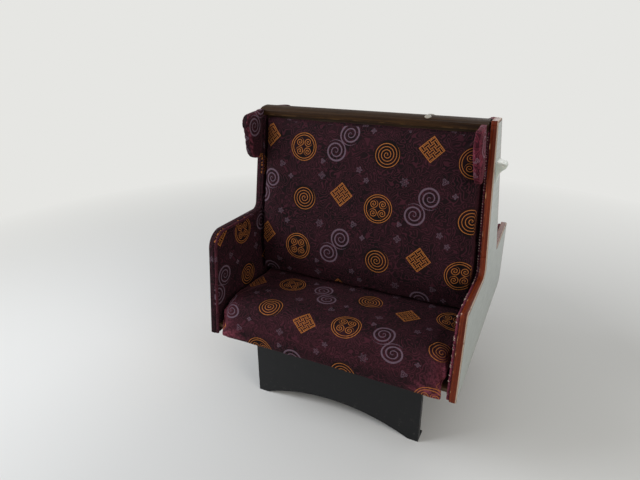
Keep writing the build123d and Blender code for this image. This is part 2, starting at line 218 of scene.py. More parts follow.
def rounded_path(corners, straight=12 * MM, turn=8):
    """Points along a line whose corners are circular arcs.

    corners has rows of (y, z, radius). An arc starts radius times the tangent of
    half its turn before its corner, with a point every `turn` degrees, and a
    straight run has one every `straight` metres.
    """
    corners = np.asarray(corners, float)
    marks = [corners[0, :2]]
    for before, corner, after in zip(corners[:-2], corners[1:-1], corners[2:]):
        into = corner[:2] - before[:2]
        out = after[:2] - corner[:2]
        into /= np.linalg.norm(into)
        out /= np.linalg.norm(out)
        cross = into[0] * out[1] - into[1] * out[0]
        angle = math.atan2(cross, float(into @ out))
        tangent = corner[2] * math.tan(abs(angle) / 2)
        side = math.copysign(1.0, angle)
        centre = corner[:2] - into * tangent + side * corner[2] * np.array([-into[1], into[0]])
        start = math.atan2(-side * into[0], side * into[1])
        count = max(2, int(abs(math.degrees(angle)) / turn) + 2)
        sweep = start + np.linspace(0, angle, count)
        marks.extend(centre + corner[2] * np.stack([np.cos(sweep), np.sin(sweep)], axis=1))
    marks.append(corners[-1, :2])
    points = [marks[0]]
    for mark in marks[1:]:
        length = np.linalg.norm(mark - points[-1])
        steps = max(1, int(length / straight))
        share = (np.arange(steps) + 1)[:, None] / steps
        points.extend(points[-1] + (mark - points[-1]) * share)
    return np.array(points)


def lengths_along(points):
    """Distance of each point along a line of points."""
    steps = np.linalg.norm(np.diff(points, axis=0), axis=1)
    return np.concatenate([[0], np.cumsum(steps)])


def path_facts(points):
    """Distance along a Y, Z line, and its unit normal to the right of its direction."""
    tangent = np.gradient(points, axis=0)
    tangent /= np.linalg.norm(tangent, axis=1)[:, None]
    return lengths_along(points), np.stack([tangent[:, 1], -tangent[:, 0]], axis=1)


def rounded_section(wide, high, radii, turn=5):
    """Closed rectangle from (0, 0) to (wide, high), each corner an arc of its own radius.

    radii are for (0, 0), (wide, 0), (wide, high) and (0, high), and `turn` is the
    number of points on each arc.
    """
    corners = [(0, 0, 1, 1, 180), (wide, 0, -1, 1, 270),
               (wide, high, -1, -1, 0), (0, high, 1, -1, 90)]
    arcs = []
    for (x, y, right, up, start), r in zip(corners, radii):
        angle = np.radians(start + np.linspace(0, 90, turn))
        arcs.append(np.stack([x + right * r + r * np.cos(angle),
                              y + up * r + r * np.sin(angle)], axis=1))
    return np.concatenate(arcs)


def lean_x(z, depth):
    """X of the leaning aisle end at height z.

    Upright below the bend, on the leaning line above it, and on a parabola with
    both as its tangents over the bend, which is moved in by depth along the normal.
    """
    half_tan = math.tan(math.atan(LEAN_TAN) / 2)
    reach = (BEND_R - depth) * half_tan
    above = z - (LEAN_START_Z - depth * half_tan)
    bend = LEAN_TAN * (above + reach) ** 2 / (4 * reach)
    drop = np.where(above < -reach, 0, np.where(above > reach, LEAN_TAN * above, bend))
    return AISLE_X - depth - drop


def end_x(end, z, depth):
    """X at a depth inside the outer face of either end."""
    if end == "aisle":
        return lean_x(z, depth)
    return WALL_X + depth + 0 * z


def end_corners(end):
    """Corners of seat a's half of an end's outline, from its foot to its top corner."""
    tip_y, tip_z, tip_r = ARM_TIP
    neck_y, neck_z, neck_r = ARM_NECK
    if end == "window":
        share = (WINDOW_ARM_Z - neck_z) / (END_TOP - neck_z)
        neck_y = neck_y + (TOP_CORNER[0] - neck_y) * share
        flare = (END_HALF_BOTTOM - tip_y) / (tip_z - END_BOTTOM)
        tip_y = END_HALF_BOTTOM - flare * (WINDOW_ARM_Z - END_BOTTOM)
        tip_z = neck_z = WINDOW_ARM_Z
        tip_r = WINDOW_TIP_R
    return [
        (-END_HALF_BOTTOM, END_BOTTOM, 0),
        (-tip_y, tip_z, tip_r),
        (-neck_y, neck_z, neck_r),
        (-TOP_CORNER[0], END_TOP, TOP_CORNER[2]),
    ]


# Materials

def colour(code):
    """Linear red, green, blue and alpha from an sRGB hex code."""
    parts = [int(code[i:i + 2], 16) / 255 for i in (1, 3, 5)]
    linear = [c / 12.92 if c <= 0.04045 else ((c + 0.055) / 1.055) ** 2.4 for c in parts]
    return (*linear, 1.0)


def node(tree, kind, inputs=(), out=0, **settings):
    """Add a node with its settings, link or set its inputs, and return one output.

    A second word of kind is the node's operation. inputs is a row of values for
    the first sockets, or maps sockets to values.
    """
    kind, _, operation = kind.partition(" ")
    new = tree.nodes.new("ShaderNode" + kind)
    if operation:
        new.operation = operation
    for key, value in settings.items():
        setattr(new, key, value)
    pairs = inputs.items() if isinstance(inputs, dict) else enumerate(inputs)
    for key, value in pairs:
        if isinstance(value, bpy.types.NodeSocket):
            tree.links.new(value, new.inputs[key])
        else:
            new.inputs[key].default_value = value
    return new.outputs[out]


def new_material(name, **sockets):
    """Material with a Principled shader whose uniform values are set on its sockets."""
    material = bpy.data.materials.new(name)
    material.use_nodes = True
    shader = material.node_tree.nodes["Principled BSDF"]
    for key, value in sockets.items():
        shader.inputs[key.replace("_", " ")].default_value = value
    return material, material.node_tree, shader.inputs


def union(tree, masks):
    """The greatest of several masks."""
    total = masks[0]
    for mask in masks[1:]:
        total = node(tree, "Math MAXIMUM", (total, mask))
    return total


def layered(tree, base, coats):
    """Colours laid over a base in turn. coats has rows of (mask, strength, hex code)."""
    for mask, strength, code in coats:
        share = node(tree, "Math MULTIPLY", (mask, strength))
        base = node(tree, "Mix", {0: share, 6: base, 7: colour(code)}, out=2, data_type="RGBA")
    return base


# The moquette's repeat, and each motif's centre in it
REPEAT = (334 * MM, 410 * MM)
DROP = 0.5                                 # each column falls by this share of the last
LINE = 1.25 * MM                           # half width of a drawn line
SCROLL = (238 * MM, 108 * MM)
SCROLL_REACH = 43 * MM                     # radius of each of its two spirals
SCROLL_TURN = math.radians(52)
SCROLL_PITCH = 16 * MM
SCROLL_LINE = 0.7 * MM                     # half width at a spiral's middle
SCROLL_SWELL = 0.075
ROUNDEL = (72 * MM, 78 * MM)
ROUNDEL_R = 54 * MM
ROUNDEL_RINGS = 8.5 * MM                   # from one ring to the other
ROUNDEL_COIL_R = 17 * MM
ROUNDEL_COIL_PITCH = 8.4 * MM
ROUNDEL_COIL_OUT = 18 * MM                 # from the roundel's middle, across and along
COIL = (86 * MM, 284 * MM)
COIL_REACH = 50 * MM
COIL_PITCH = 11.5 * MM
LATTICE = (250 * MM, 318 * MM)
LATTICE_HALF = 31.5 * MM
BAND = 15.75 * MM                          # from one woven band to the next
BAND_EDGE = 0.27                           # half width of a band, as a share of that
BAND_ROOM = 0.36                           # how near it a band under it stops
CLEAR = 3 * MM                             # bare ground round a motif
# centre, size and petals of the small flowers
FLORETS = [
    ((164 * MM, 190 * MM), 16 * MM, 6),
    ((312 * MM, 208 * MM), 13 * MM, 3),
    ((160 * MM, 384 * MM), 14 * MM, 4),
    ((14 * MM, 180 * MM), 11 * MM, 5),
    ((316 * MM, 12 * MM), 12 * MM, 5),
    ((160 * MM, 30 * MM), 10 * MM, 3),
    ((20 * MM, 366 * MM), 10 * MM, 4),
]


def motif(tree, cloth, centre):
    """Distance, angle and offset of each point from the nearest copy of a motif's centre."""
    half = (REPEAT[0] / 2, REPEAT[1] / 2, 1.0)
    low = tuple(-h for h in half)
    moved = node(tree, "VectorMath SUBTRACT", (cloth, (*centre, 0.0)))
    offset = node(tree, "VectorMath WRAP", (moved, half, low))
    return *polar(tree, offset), offset


def polar(tree, offset):
    """Distance and angle of an offset."""
    radius = node(tree, "VectorMath LENGTH", (offset,), out=1)
    x, y, _ = node(tree, "SeparateXYZ", (offset,)).node.outputs
    return radius, node(tree, "Math ARCTAN2", (y, x))


def drawn(tree, value, places, half=LINE):
    """Lines where a value passes each of some places."""
    return union(tree, [node(tree, "Math COMPARE", (value, place, half)) for place in places])


def within(tree, value, limit, mask):
    """A mask kept only where a value is under a limit."""
    inside = node(tree, "Math LESS_THAN", (value, limit))
    return node(tree, "Math MULTIPLY", (mask, inside))


def spiral(tree, radius, angle, pitch, start, reach, half=LINE, swell=0.0):
    """A line that winds outwards, one pitch further from its centre each turn.

    The turn count at a point is its radius over the pitch, less its angle's share of
    a turn: the line is where the count's fraction is a half. Its half width grows
    from `half` by `swell` of the radius.
    """
    count = node(tree, "Math MULTIPLY_ADD", (angle, -1 / math.tau, start))
    count = node(tree, "Math MULTIPLY_ADD", (radius, 1 / pitch, count))
    share = node(tree, "Math FRACT", (count,))
    thick = node(tree, "Math MULTIPLY_ADD", (radius, swell / pitch, half / pitch))
    return within(tree, radius, reach, drawn(tree, share, (0.5,), thick))


def scroll(tree, cloth):
    """Two spirals that run into each other in an S.

    Half a turn about the point between them carries one to the other, and each
    starts so that its line reaches that point at the end of its reach.
    """
    arms = []
    for side in (-1, 1):
        facing = SCROLL_TURN + (math.pi if side > 0 else 0)
        centre = (SCROLL[0] + side * SCROLL_REACH * math.cos(SCROLL_TURN),
                  SCROLL[1] + side * SCROLL_REACH * math.sin(SCROLL_TURN))
        radius, angle, _ = motif(tree, cloth, centre)
        start = 0.5 + facing / math.tau - SCROLL_REACH / SCROLL_PITCH
        arms.append(spiral(tree, radius, angle, SCROLL_PITCH, start, SCROLL_REACH,
                           SCROLL_LINE, SCROLL_SWELL))
    return union(tree, arms)


def roundel(tree, radius, angle):
    """A double ring round four coils, each a quarter turn on from the last.

    The angle's remainder after whole quarter turns brings every point into one
    quarter, where the one coil is drawn.
    """
    quarter = node(tree, "Math FLOORED_MODULO", (angle, math.pi / 2))
    x = node(tree, "Math COSINE", (quarter,))
    y = node(tree, "Math SINE", (quarter,))
    unit = node(tree, "CombineXYZ", (x, y))
    place = node(tree, "VectorMath SCALE", {0: unit, "Scale": radius})
    centre = (ROUNDEL_COIL_OUT, ROUNDEL_COIL_OUT, 0.0)
    near, turned_by = polar(tree, node(tree, "VectorMath SUBTRACT", (place, centre)))
    rings = drawn(tree, radius, (ROUNDEL_R, ROUNDEL_R - ROUNDEL_RINGS))
    coils = spiral(tree, near, turned_by, ROUNDEL_COIL_PITCH, 0.35, ROUNDEL_COIL_R)
    return union(tree, [rings, coils])


def lattice(tree, offset):
    """Bands woven over and under in a square that stands on its corner.

    A band's two edges are drawn, but not where it passes under a crossing band,
    which it does at every other crossing.
    """
    slant = math.sqrt(0.5)
    edges = []
    inner = []
    numbers = []
    sizes = []
    for direction in ((slant, slant, 0.0), (slant, -slant, 0.0)):
        along = node(tree, "VectorMath DOT_PRODUCT", (offset, direction), out=1)
        cell = node(tree, "Math DIVIDE", (along, BAND))
        numbers.append(node(tree, "Math FLOOR", (cell,)))
        share = node(tree, "Math FRACT", (cell,))
        off = node(tree, "Math ADD", (share, -0.5))
        off = node(tree, "Math ABSOLUTE", (off,))
        edges.append(drawn(tree, off, (BAND_EDGE,), 0.85 * LINE / BAND))
        inner.append(node(tree, "Math LESS_THAN", (off, BAND_ROOM)))
        sizes.append(node(tree, "Math ABSOLUTE", (along,)))
    total = node(tree, "Math ADD", numbers)
    odd = node(tree, "Math FLOORED_MODULO", (total, 2.0))
    even = node(tree, "Math SUBTRACT", (1.0, odd))
    shown = []
    for edge, over, turn in ((edges[0], inner[1], odd), (edges[1], inner[0], even)):
        hidden = node(tree, "Math MULTIPLY", (over, turn))
        shown.append(node(tree, "Math SUBTRACT", (edge, hidden), use_clamp=True))
    widest = union(tree, sizes)
    border = drawn(tree, widest, (LATTICE_HALF + LINE,))
    return union(tree, [within(tree, widest, LATTICE_HALF, union(tree, shown)), border])


def floret(tree, radius, angle, size, petals):
    """A small open flower: its outline's radius waves once for each petal."""
    turns = node(tree, "Math MULTIPLY", (angle, float(petals)))
    wave = node(tree, "Math COSINE", (turns,))
    petal = node(tree, "Math MULTIPLY_ADD", (wave, -0.24 * size, radius))
    outlines = drawn(tree, petal, (0.75 * size, 0.42 * size), 0.9 * MM)
    eye = drawn(tree, radius, (0.0,), 1.6 * MM)
    return union(tree, [outlines, eye])


def moquette(name, ground="#0a0506", field="#14090c", curl="#401c26", mauve="#675460",
             gold="#ae6a33", sheen=0.3):
    """Moquette: a dense cut wool pile, woven in several yarn colours.

    A nearly black ground, filled between the motifs with fine curls in a deep
    purple. Thin drawn ornament in mauve and in gold stands on it. The pile ends
    every line a little raggedly, and it is lighter in patches where it has been
    brushed flat. Along the arrises and fold crests that the attribute "brushed" marks
    it is painted lighter still: a painted highlight, partly brushed pile.
    """
    material, tree, shader = new_material(
        name, Roughness=0.88, IOR=1.45, Sheen_Weight=sheen, Sheen_Roughness=0.28,
        Sheen_Tint=colour("#b8747c"), Specular_IOR_Level=0.15)
    uv = node(tree, "UVMap", uv_map="UVMap")
    # tufts of 1.7 mm move each line's edge by up to 0.9 mm
    rough = node(tree, "TexNoise", {"Vector": uv, "Scale": 1 / (1.7 * MM), "Detail": 0.0}, out=1)
    ragged = node(tree, "VectorMath MULTIPLY_ADD", (rough, (0.9 * MM,) * 3, uv))
    across, along, _ = node(tree, "SeparateXYZ", (ragged,)).node.outputs
    column = node(tree, "Math DIVIDE", (across, REPEAT[0]))
    column = node(tree, "Math FLOOR", (column,))
    fallen = node(tree, "Math MULTIPLY_ADD", (column, DROP * REPEAT[1], along))
    cloth = node(tree, "CombineXYZ", (across, fallen))

    round_radius, round_angle, _ = motif(tree, cloth, ROUNDEL)
    coil_radius, coil_angle, _ = motif(tree, cloth, COIL)
    _, _, lattice_offset = motif(tree, cloth, LATTICE)
    golds = union(tree, [
        roundel(tree, round_radius, round_angle),
        spiral(tree, coil_radius, coil_angle, COIL_PITCH, 0.2, COIL_REACH),
        lattice(tree, lattice_offset),
    ])
    mauves = [scroll(tree, cloth)]
    for centre, size, petals in FLORETS:
        radius, angle, _ = motif(tree, cloth, centre)
        mauves.append(floret(tree, radius, angle, size, petals))
    mauves = union(tree, mauves)

    # curls: level lines of a slow noise, kept off the ground just round each motif
    slow = node(tree, "TexNoise", {"Vector": ragged, "Scale": 1 / (30 * MM), "Detail": 0.0,
                                   "Distortion": 0.6})
    levels = node(tree, "Math MULTIPLY", (slow, 7.0))
    fold = node(tree, "Math PINGPONG", (levels, 0.5))
    curls = node(tree, "Math LESS_THAN", (fold, 0.16))
    lattice_reach = node(tree, "VectorMath LENGTH", (lattice_offset,), out=1)
    clear = union(tree, [
        node(tree, "Math LESS_THAN", (round_radius, ROUNDEL_R + CLEAR)),
        node(tree, "Math LESS_THAN", (coil_radius, COIL_REACH + CLEAR)),
        node(tree, "Math LESS_THAN", (lattice_reach, LATTICE_HALF * 1.2)),
    ])
    open_ground = node(tree, "Math SUBTRACT", (1.0, clear))
    curls = node(tree, "Math MULTIPLY", (curls, open_ground))

    # each dyed yarn varies, and hands and backs brush the pile in patches
    yarn = node(tree, "TexNoise", {"Vector": uv, "Scale": 1 / (2.2 * MM), "Detail": 1.0})
    patch = node(tree, "TexNoise", {"Vector": uv, "Scale": 1 / (95 * MM), "Detail": 3.0})
    brushed = node(tree, "MapRange", (patch, 0.42, 0.62))
    streak = node(tree, "TexNoise", {"Vector": uv, "Scale": 1 / (11 * MM), "Detail": 3.0})
    streak = node(tree, "MapRange", (streak, 0.38, 0.6, 0.3, 1.0))
    # painted highlight, partly brushed pile: the rim colour goes where the attribute "brushed"
    # marks arrises and fold crests
    rim = node(tree, "Attribute", out=2, attribute_name="brushed")
    rim = node(tree, "Math MULTIPLY", (rim, streak))
    base = layered(tree, colour(ground), [
        (open_ground, 1.0, field), (brushed, 0.22, curl), (curls, 0.8, curl),
        (rim, 0.8, "#853f4e"), (mauves, 0.9, mauve), (golds, 0.92, gold)])
    shade = node(tree, "MapRange", (yarn, 0.3, 0.7, 0.72, 1.2))
    base = node(tree, "VectorMath SCALE", {0: base, "Scale": shade})

    # pile: tufts about 1.3 mm apart
    pile = node(tree, "TexVoronoi", {"Vector": uv, "Scale": 1 / (1.3 * MM), "Randomness": 0.7})
    raised = union(tree, [mauves, golds, curls])
    height = node(tree, "Math MULTIPLY_ADD", (raised, 0.5, pile))
    finish(tree, shader, base, None, height, 0.35, 0.5 * MM)
    return material


def heights_and_facing(tree):
    """Object coordinates, the height above the floor, and how far the surface faces up."""
    place = node(tree, "TexCoord", out=3)
    height = node(tree, "SeparateXYZ", (place,), out=2)
    facing = node(tree, "SeparateXYZ", (node(tree, "TexCoord", out=1),), out=2)
    return place, height, facing


def finish(tree, shader, base, rough, height, strength, distance):
    """Link a material's colour, roughness and bump to its shader."""
    tree.links.new(base, shader["Base Color"])
    if rough is not None:
        tree.links.new(rough, shader["Roughness"])
    bump = node(tree, "Bump", {"Strength": strength, "Distance": distance, "Height": height})
    tree.links.new(bump, shader["Normal"])


def wood(name, dark, mid, light, arrises, coat, roughness):
    """Hardwood under varnish: long pores along the piece, darker and lighter growth bands.

    The UV map runs along the grain and round the section. The varnish has rubbed
    through in spots on the arrises, wherever a slow noise passes a value of each
    arris, and on some arrises the pale line is partly painted highlight. A knock has
    bruised it down to bare wood at one place.
    """
    material, tree, shader = new_material(
        name, Coat_Weight=coat, Coat_Roughness=0.12, IOR=1.5, Specular_IOR_Level=0.08)
    uv = node(tree, "UVMap", uv_map="UVMap")
    bands = node(tree, "Mapping", {0: uv, 3: (1 / (260 * MM), 1 / (7 * MM), 1)})
    band = node(tree, "TexNoise", {"Vector": bands, "Scale": 1.0, "Detail": 4.0, "Distortion": 0.5})
    fine = node(tree, "Mapping", {0: uv, 3: (1 / (22 * MM), 1 / (0.7 * MM), 1)})
    pores = node(tree, "TexNoise", {"Vector": fine, "Scale": 1.0, "Detail": 2.0})
    around = node(tree, "SeparateXYZ", (uv,), out=1)
    rub = node(tree, "TexNoise", {"Vector": uv, "Scale": 1 / (34 * MM), "Detail": 5.0})
    place = node(tree, "TexCoord", out=3)
    knocked = node(tree, "VectorMath DISTANCE", (place, ARM_KNOCK), out=1)
    chips_and_highlights = [(node(tree, "MapRange", (knocked, 3 * MM, 6 * MM, 1.0, 0.0)), 0.9, "#c69b85")]
    # a mark on each arris where the noise lets it through: worn varnish, on some arrises partly
    # painted highlight
    for arris, reach, wear_and_highlight_from, code in arrises:
        off = node(tree, "Math ADD", (around, -arris))
        off = node(tree, "Math ABSOLUTE", (off,))
        edge = node(tree, "MapRange", (off, reach - 1.8 * MM, reach, 1.0, 0.0))
        wear_and_highlight = node(tree, "MapRange", (rub, wear_and_highlight_from, wear_and_highlight_from + 0.1))
        chips_and_highlights.append((node(tree, "Math MULTIPLY", (edge, wear_and_highlight)), 0.8, code))
    chip_and_highlight = union(tree, [mask for mask, _, _ in chips_and_highlights])
    banded = node(tree, "MapRange", (band, 0.34, 0.66))
    pore = node(tree, "MapRange", (pores, 0.52, 0.66))
    base = layered(tree, colour(mid), [(banded, 1.0, light), (pore, 0.7, dark), *chips_and_highlights])
    rough = node(tree, "MapRange", (rub, 0.3, 0.7, roughness, roughness + 0.12))
    rough = node(tree, "Math MULTIPLY_ADD", (chip_and_highlight, 0.25, rough))
    height = node(tree, "Math MULTIPLY_ADD", (pore, -1.0, chip_and_highlight))
    finish(tree, shader, base, rough, height, 0.15, 0.15 * MM)
    return material


def laminate(name):
    """High-pressure laminate: a hard white sheet, faintly mottled, hazed by cleaning.

    Rubbed and soiled near its foot, where shoes and trolleys touch it, and bare
    plywood on the edge of the board underneath.
    """
    material, tree, shader = new_material(name, IOR=1.5, Coat_Weight=0.12, Coat_Roughness=0.22)
    place, height, facing = heights_and_facing(tree)
    cloud = node(tree, "TexNoise", {"Vector": place, "Scale": 1 / (90 * MM), "Detail": 4.0})
    stroke = node(tree, "Mapping", {0: place, 3: (1 / (6 * MM), 1 / (70 * MM), 1 / (4 * MM))})
    scuffs = node(tree, "TexNoise", {"Vector": stroke, "Scale": 1.0, "Detail": 5.0})
    low = node(tree, "MapRange", (height, END_BOTTOM, END_BOTTOM + 260 * MM, 1.0, 0.15))
    scuff = node(tree, "MapRange", (scuffs, 0.6, 0.72))
    scuff = node(tree, "Math MULTIPLY", (scuff, low))
    grime = node(tree, "MapRange", (height, END_BOTTOM, END_BOTTOM + 70 * MM, 0.5, 0.0))
    grime = node(tree, "Math MULTIPLY", (grime, cloud))
    spots = node(tree, "TexNoise", {"Vector": place, "Scale": 1 / (11 * MM), "Detail": 3.0})
    spots = node(tree, "MapRange", (spots, 0.68, 0.74))
    downward = node(tree, "MapRange", (facing, -0.7, -0.6, 1.0, 0.0))
    base = layered(tree, colour("#949b96"), [
        (cloud, 1.0, "#a2a9a4"), (scuff, 0.55, "#6a6963"), (spots, 0.25, "#8d8a80"),
        (grime, 1.0, "#7f796c"), (downward, 1.0, "#9a7a50")])
    rough = node(tree, "MapRange", (scuffs, 0.35, 0.7, 0.3, 0.48))
    peel = node(tree, "TexNoise", {"Vector": place, "Scale": 1 / (5 * MM), "Detail": 2.0})
    finish(tree, shader, base, rough, peel, 0.06, 0.3 * MM)
    return material


def black_paint(name):
    """Stoved black paint on steel: slightly rippled, dusty on top, grey where shoes rub it."""
    material, tree, shader = new_material(name, IOR=1.5, Specular_IOR_Level=0.3)
    place, height, facing = heights_and_facing(tree)
    cloud = node(tree, "TexNoise", {"Vector": place, "Scale": 1 / (60 * MM), "Detail": 5.0})
    rub = node(tree, "TexNoise", {"Vector": place, "Scale": 1 / (14 * MM), "Detail": 6.0})
    low = node(tree, "MapRange", (height, 0.0, 120 * MM, 1.0, 0.12))
    worn = node(tree, "MapRange", (rub, 0.61, 0.68))
    worn = node(tree, "Math MULTIPLY", (worn, low))
    dusty = node(tree, "MapRange", (facing, 0.6, 1.0, 0.0, 0.3))
    dusty = node(tree, "Math MULTIPLY", (dusty, cloud))
    base = layered(tree, colour("#08090b"), [
        (cloud, 1.0, "#101114"), (worn, 0.55, "#45433f"), (dusty, 1.0, "#5d574d")])
    rough = node(tree, "MapRange", (cloud, 0.3, 0.7, 0.36, 0.52))
    ripple = node(tree, "TexNoise", {"Vector": place, "Scale": 1 / (3 * MM), "Detail": 1.0})
    finish(tree, shader, base, rough, ripple, 0.1, 0.2 * MM)
    return material


def plywood(name, thickness_axis, pale, deep, ply):
    """Birch plywood: broad grain along its faces, thin darker plies on its edges."""
    material, tree, shader = new_material(name, Roughness=0.62, IOR=1.5, Specular_IOR_Level=0.3)
    place = node(tree, "TexCoord", out=3)
    through = node(tree, "SeparateXYZ", (place,), out=thickness_axis)
    plies = node(tree, "Math PINGPONG", (through, 1.4 * MM))
    plies = node(tree, "MapRange", (plies, 0.55 * MM, 0.75 * MM, 1.0, 0.0))
    scale = [1 / (9 * MM)] * 3
    scale[0 if thickness_axis else 1] = 1 / (300 * MM)
    long_grain = node(tree, "Mapping", {0: place, 3: scale})
    grain = node(tree, "TexNoise", {"Vector": long_grain, "Scale": 1.0, "Detail": 5.0,
                                    "Distortion": 0.6})
    late = node(tree, "MapRange", (grain, 0.3, 0.7))
    stain = node(tree, "TexNoise", {"Vector": place, "Scale": 1 / (140 * MM), "Detail": 3.0})
    stain = node(tree, "MapRange", (stain, 0.5, 0.75))
    base = layered(tree, colour(deep), [(late, 1.0, pale), (plies, 0.4, ply), (stain, 0.5, ply)])
    finish(tree, shader, base, None, grain, 0.2, 0.2 * MM)
    return material


def white_plastic(name, code, pale):
    """Moulded thermoplastic, once white: smooth, yellowed, with hairline rubs and finger soil."""
    material, tree, shader = new_material(name, IOR=1.46, Subsurface_Weight=0.05)
    place = node(tree, "TexCoord", out=3)
    cloud = node(tree, "TexNoise", {"Vector": place, "Scale": 1 / (8 * MM), "Detail": 4.0})
    soil = node(tree, "TexNoise", {"Vector": place, "Scale": 1 / (22 * MM), "Detail": 2.0})
    soil = node(tree, "MapRange", (soil, 0.55, 0.7))
    base = layered(tree, colour(code), [(cloud, 1.0, pale), (soil, 0.3, "#857c6d")])
    rough = node(tree, "MapRange", (cloud, 0.3, 0.7, 0.26, 0.42))
    finish(tree, shader, base, rough, cloud, 0.05, 0.1 * MM)
    return material


def plated_steel(name):
    """Zinc-plated steel fasteners: dull grey with a faint yellow cast and fine tool marks."""
    material, tree, shader = new_material(name, Metallic=1.0)
    place = node(tree, "TexCoord", out=3)
    cloud = node(tree, "TexNoise", {"Vector": place, "Scale": 1 / (2.5 * MM), "Detail": 4.0})
    base = layered(tree, colour("#8f8c82"), [(cloud, 1.0, "#b4b1a6")])
    rough = node(tree, "MapRange", (cloud, 0.3, 0.7, 0.34, 0.55))
    finish(tree, shader, base, rough, cloud, 0.08, 0.1 * MM)
    return material


def gimp_yarn(name):
    """Cotton stitches along the lining's edge: pale and matt, soiled by use."""
    material, tree, shader = new_material(name, Roughness=0.8, IOR=1.45, Sheen_Weight=0.2)
    place = node(tree, "TexCoord", out=3)
    soil = node(tree, "TexNoise", {"Vector": place, "Scale": 1 / (20 * MM), "Detail": 3.0})
    soil = node(tree, "MapRange", (soil, 0.44, 0.58))
    base = layered(tree, colour("#b2978a"), [(soil, 1.0, "#4d3030")])
    twist = node(tree, "TexNoise", {"Vector": place, "Scale": 1 / (0.8 * MM), "Detail": 1.0})
    finish(tree, shader, base, None, twist, 0.3, 0.2 * MM)
    return material


def seen_by_eye(tree):
    """1 on rays from the camera and on rays that a mirror or a glass sends on, 0 on the rest."""
    path = node(tree, "LightPath").node.outputs
    return union(tree, [path["Is Camera Ray"], path["Is Glossy Ray"], path["Is Transmission Ray"]])


def stage_paint(name, code, far_code):
    """Plain matt floor that passes into the backdrop's colour away from the seat."""
    material, tree, shader = new_material(name, Roughness=0.9, Specular_IOR_Level=0.1)
    place = node(tree, "TexCoord", out=3)
    cloud = node(tree, "TexNoise", {"Vector": place, "Scale": 0.8, "Detail": 2.0})
    base = layered(tree, colour(code), [(cloud, 0.5, far_code)])
    tree.links.new(base, shader["Base Color"])
    away = node(tree, "VectorMath LENGTH", (place,), out=1)
    far = node(tree, "MapRange", (away, *STAGE_FADE))
    far = node(tree, "Math MULTIPLY", (far, seen_by_eye(tree)))
    glow = node(tree, "Emission", (colour(far_code), 1.0))
    lit = tree.nodes["Principled BSDF"].outputs[0]
    mixed = node(tree, "MixShader", (far, lit, glow))
    tree.links.new(mixed, tree.nodes["Material Output"].inputs["Surface"])
    return material


# Hard pieces

def dress(piece, material):
    """Give a piece its one material, and let it ride the one body."""
    piece.data.materials.clear()
    piece.data.materials.append(material)
    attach(piece, "root")
    return piece


def dress_pair(piece, material):
    """Dress a seat a piece and its mirror image for seat b."""
    pair = (piece, mirrored(piece))
    for one in pair:
        dress(one, material)
    return pair


def swept(name, end, path, section, first, last):
    """A section of (depth, inset) carried along an end's outline from `first` to `last`.

    Each end is eased by shrinking the last sections towards their middle.
    """
    points, distance, normal = path
    ease = 0.8 * MM
    inner = (distance > first + 2 * ease) & (distance < last - 2 * ease)
    along = np.concatenate([[first, first + ease], distance[inner], [last - ease, last]])
    y, z = (np.interp(along, distance, points[:, i])[:, None] for i in (0, 1))
    ny, nz = (np.interp(along, distance, normal[:, i])[:, None] for i in (0, 1))
    middle = section.mean(axis=0)
    scale = np.ones(len(along))
    scale[[0, -1]] = 1 - ease / EDGING_T
    ring = middle + (section - middle)[None] * scale[:, None, None]
    depth = ring[..., 0]
    inset = ring[..., 1]
    py = y + ny * inset
    pz = z + nz * inset
    grid = np.stack([end_x(end, pz, depth), py, pz], axis=-1)
    uv = np.stack(np.broadcast_arrays(along[:, None], lengths_along(section)[None]), axis=-1)
    piece = add_piece(name, grid.reshape(-1, 3), tube_faces(*depth.shape), uv.reshape(-1, 2))
    return outward(piece)


def edging_pieces(material):
    """The seven butted lengths of edging round the aisle end."""
    half = end_corners("aisle")
    corners = half + [(-y, z, r) for y, z, r in half[::-1]]
    points = rounded_path(corners, straight=10 * MM, turn=6)
    distance, normal = path_facts(points)
    middle = distance[-1] / 2
    before = distance < middle

    def where(z, low, high):
        """Distance at which the outline's first half passes height z, between two distances."""
        part = before & (distance >= low) & (distance <= high)
        return float(np.interp(z, points[part, 1], distance[part]))

    # the joints' heights come from the part. The outline passes the upper two on its way
    # up from the neck, and the lowest before the arm's tip
    front_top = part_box("edging_front_a")[1].z
    tip = distance[before][np.argmax(points[before, 1] > front_top)]
    neck = distance[before][np.argmax(points[before, 0] > -ARM_NECK[0] - 40 * MM)]
    front_cut = where(front_top, 0, tip)
    upright_cut = where(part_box("edging_upright_a")[0].z, neck, middle)
    top_cut = where(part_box("edging_top")[0].z, neck, middle)
    gap = 0.15 * MM
    path = (points, distance, normal)
    section = rounded_section(EDGING_W, EDGING_T, (3.2 * MM, 3.2 * MM, 0.8 * MM, 0.8 * MM))
    top = swept("wood_edging_top", "aisle", path, section,
                top_cut + gap, distance[-1] - top_cut - gap)
    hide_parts("edging_top")
    dress(top, material)
    lengths = [
        ("edging_front", 0.0, front_cut - gap),
        ("edging_arm", front_cut + gap, upright_cut - gap),
        ("edging_upright", upright_cut + gap, top_cut - gap),
    ]
    for name, low, high in lengths:
        piece = swept("wood_" + name + "_a", "aisle", path, section, low, high)
        for one, side in zip(dress_pair(piece, material), "ab"):
            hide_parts(f"{name}_{side}")


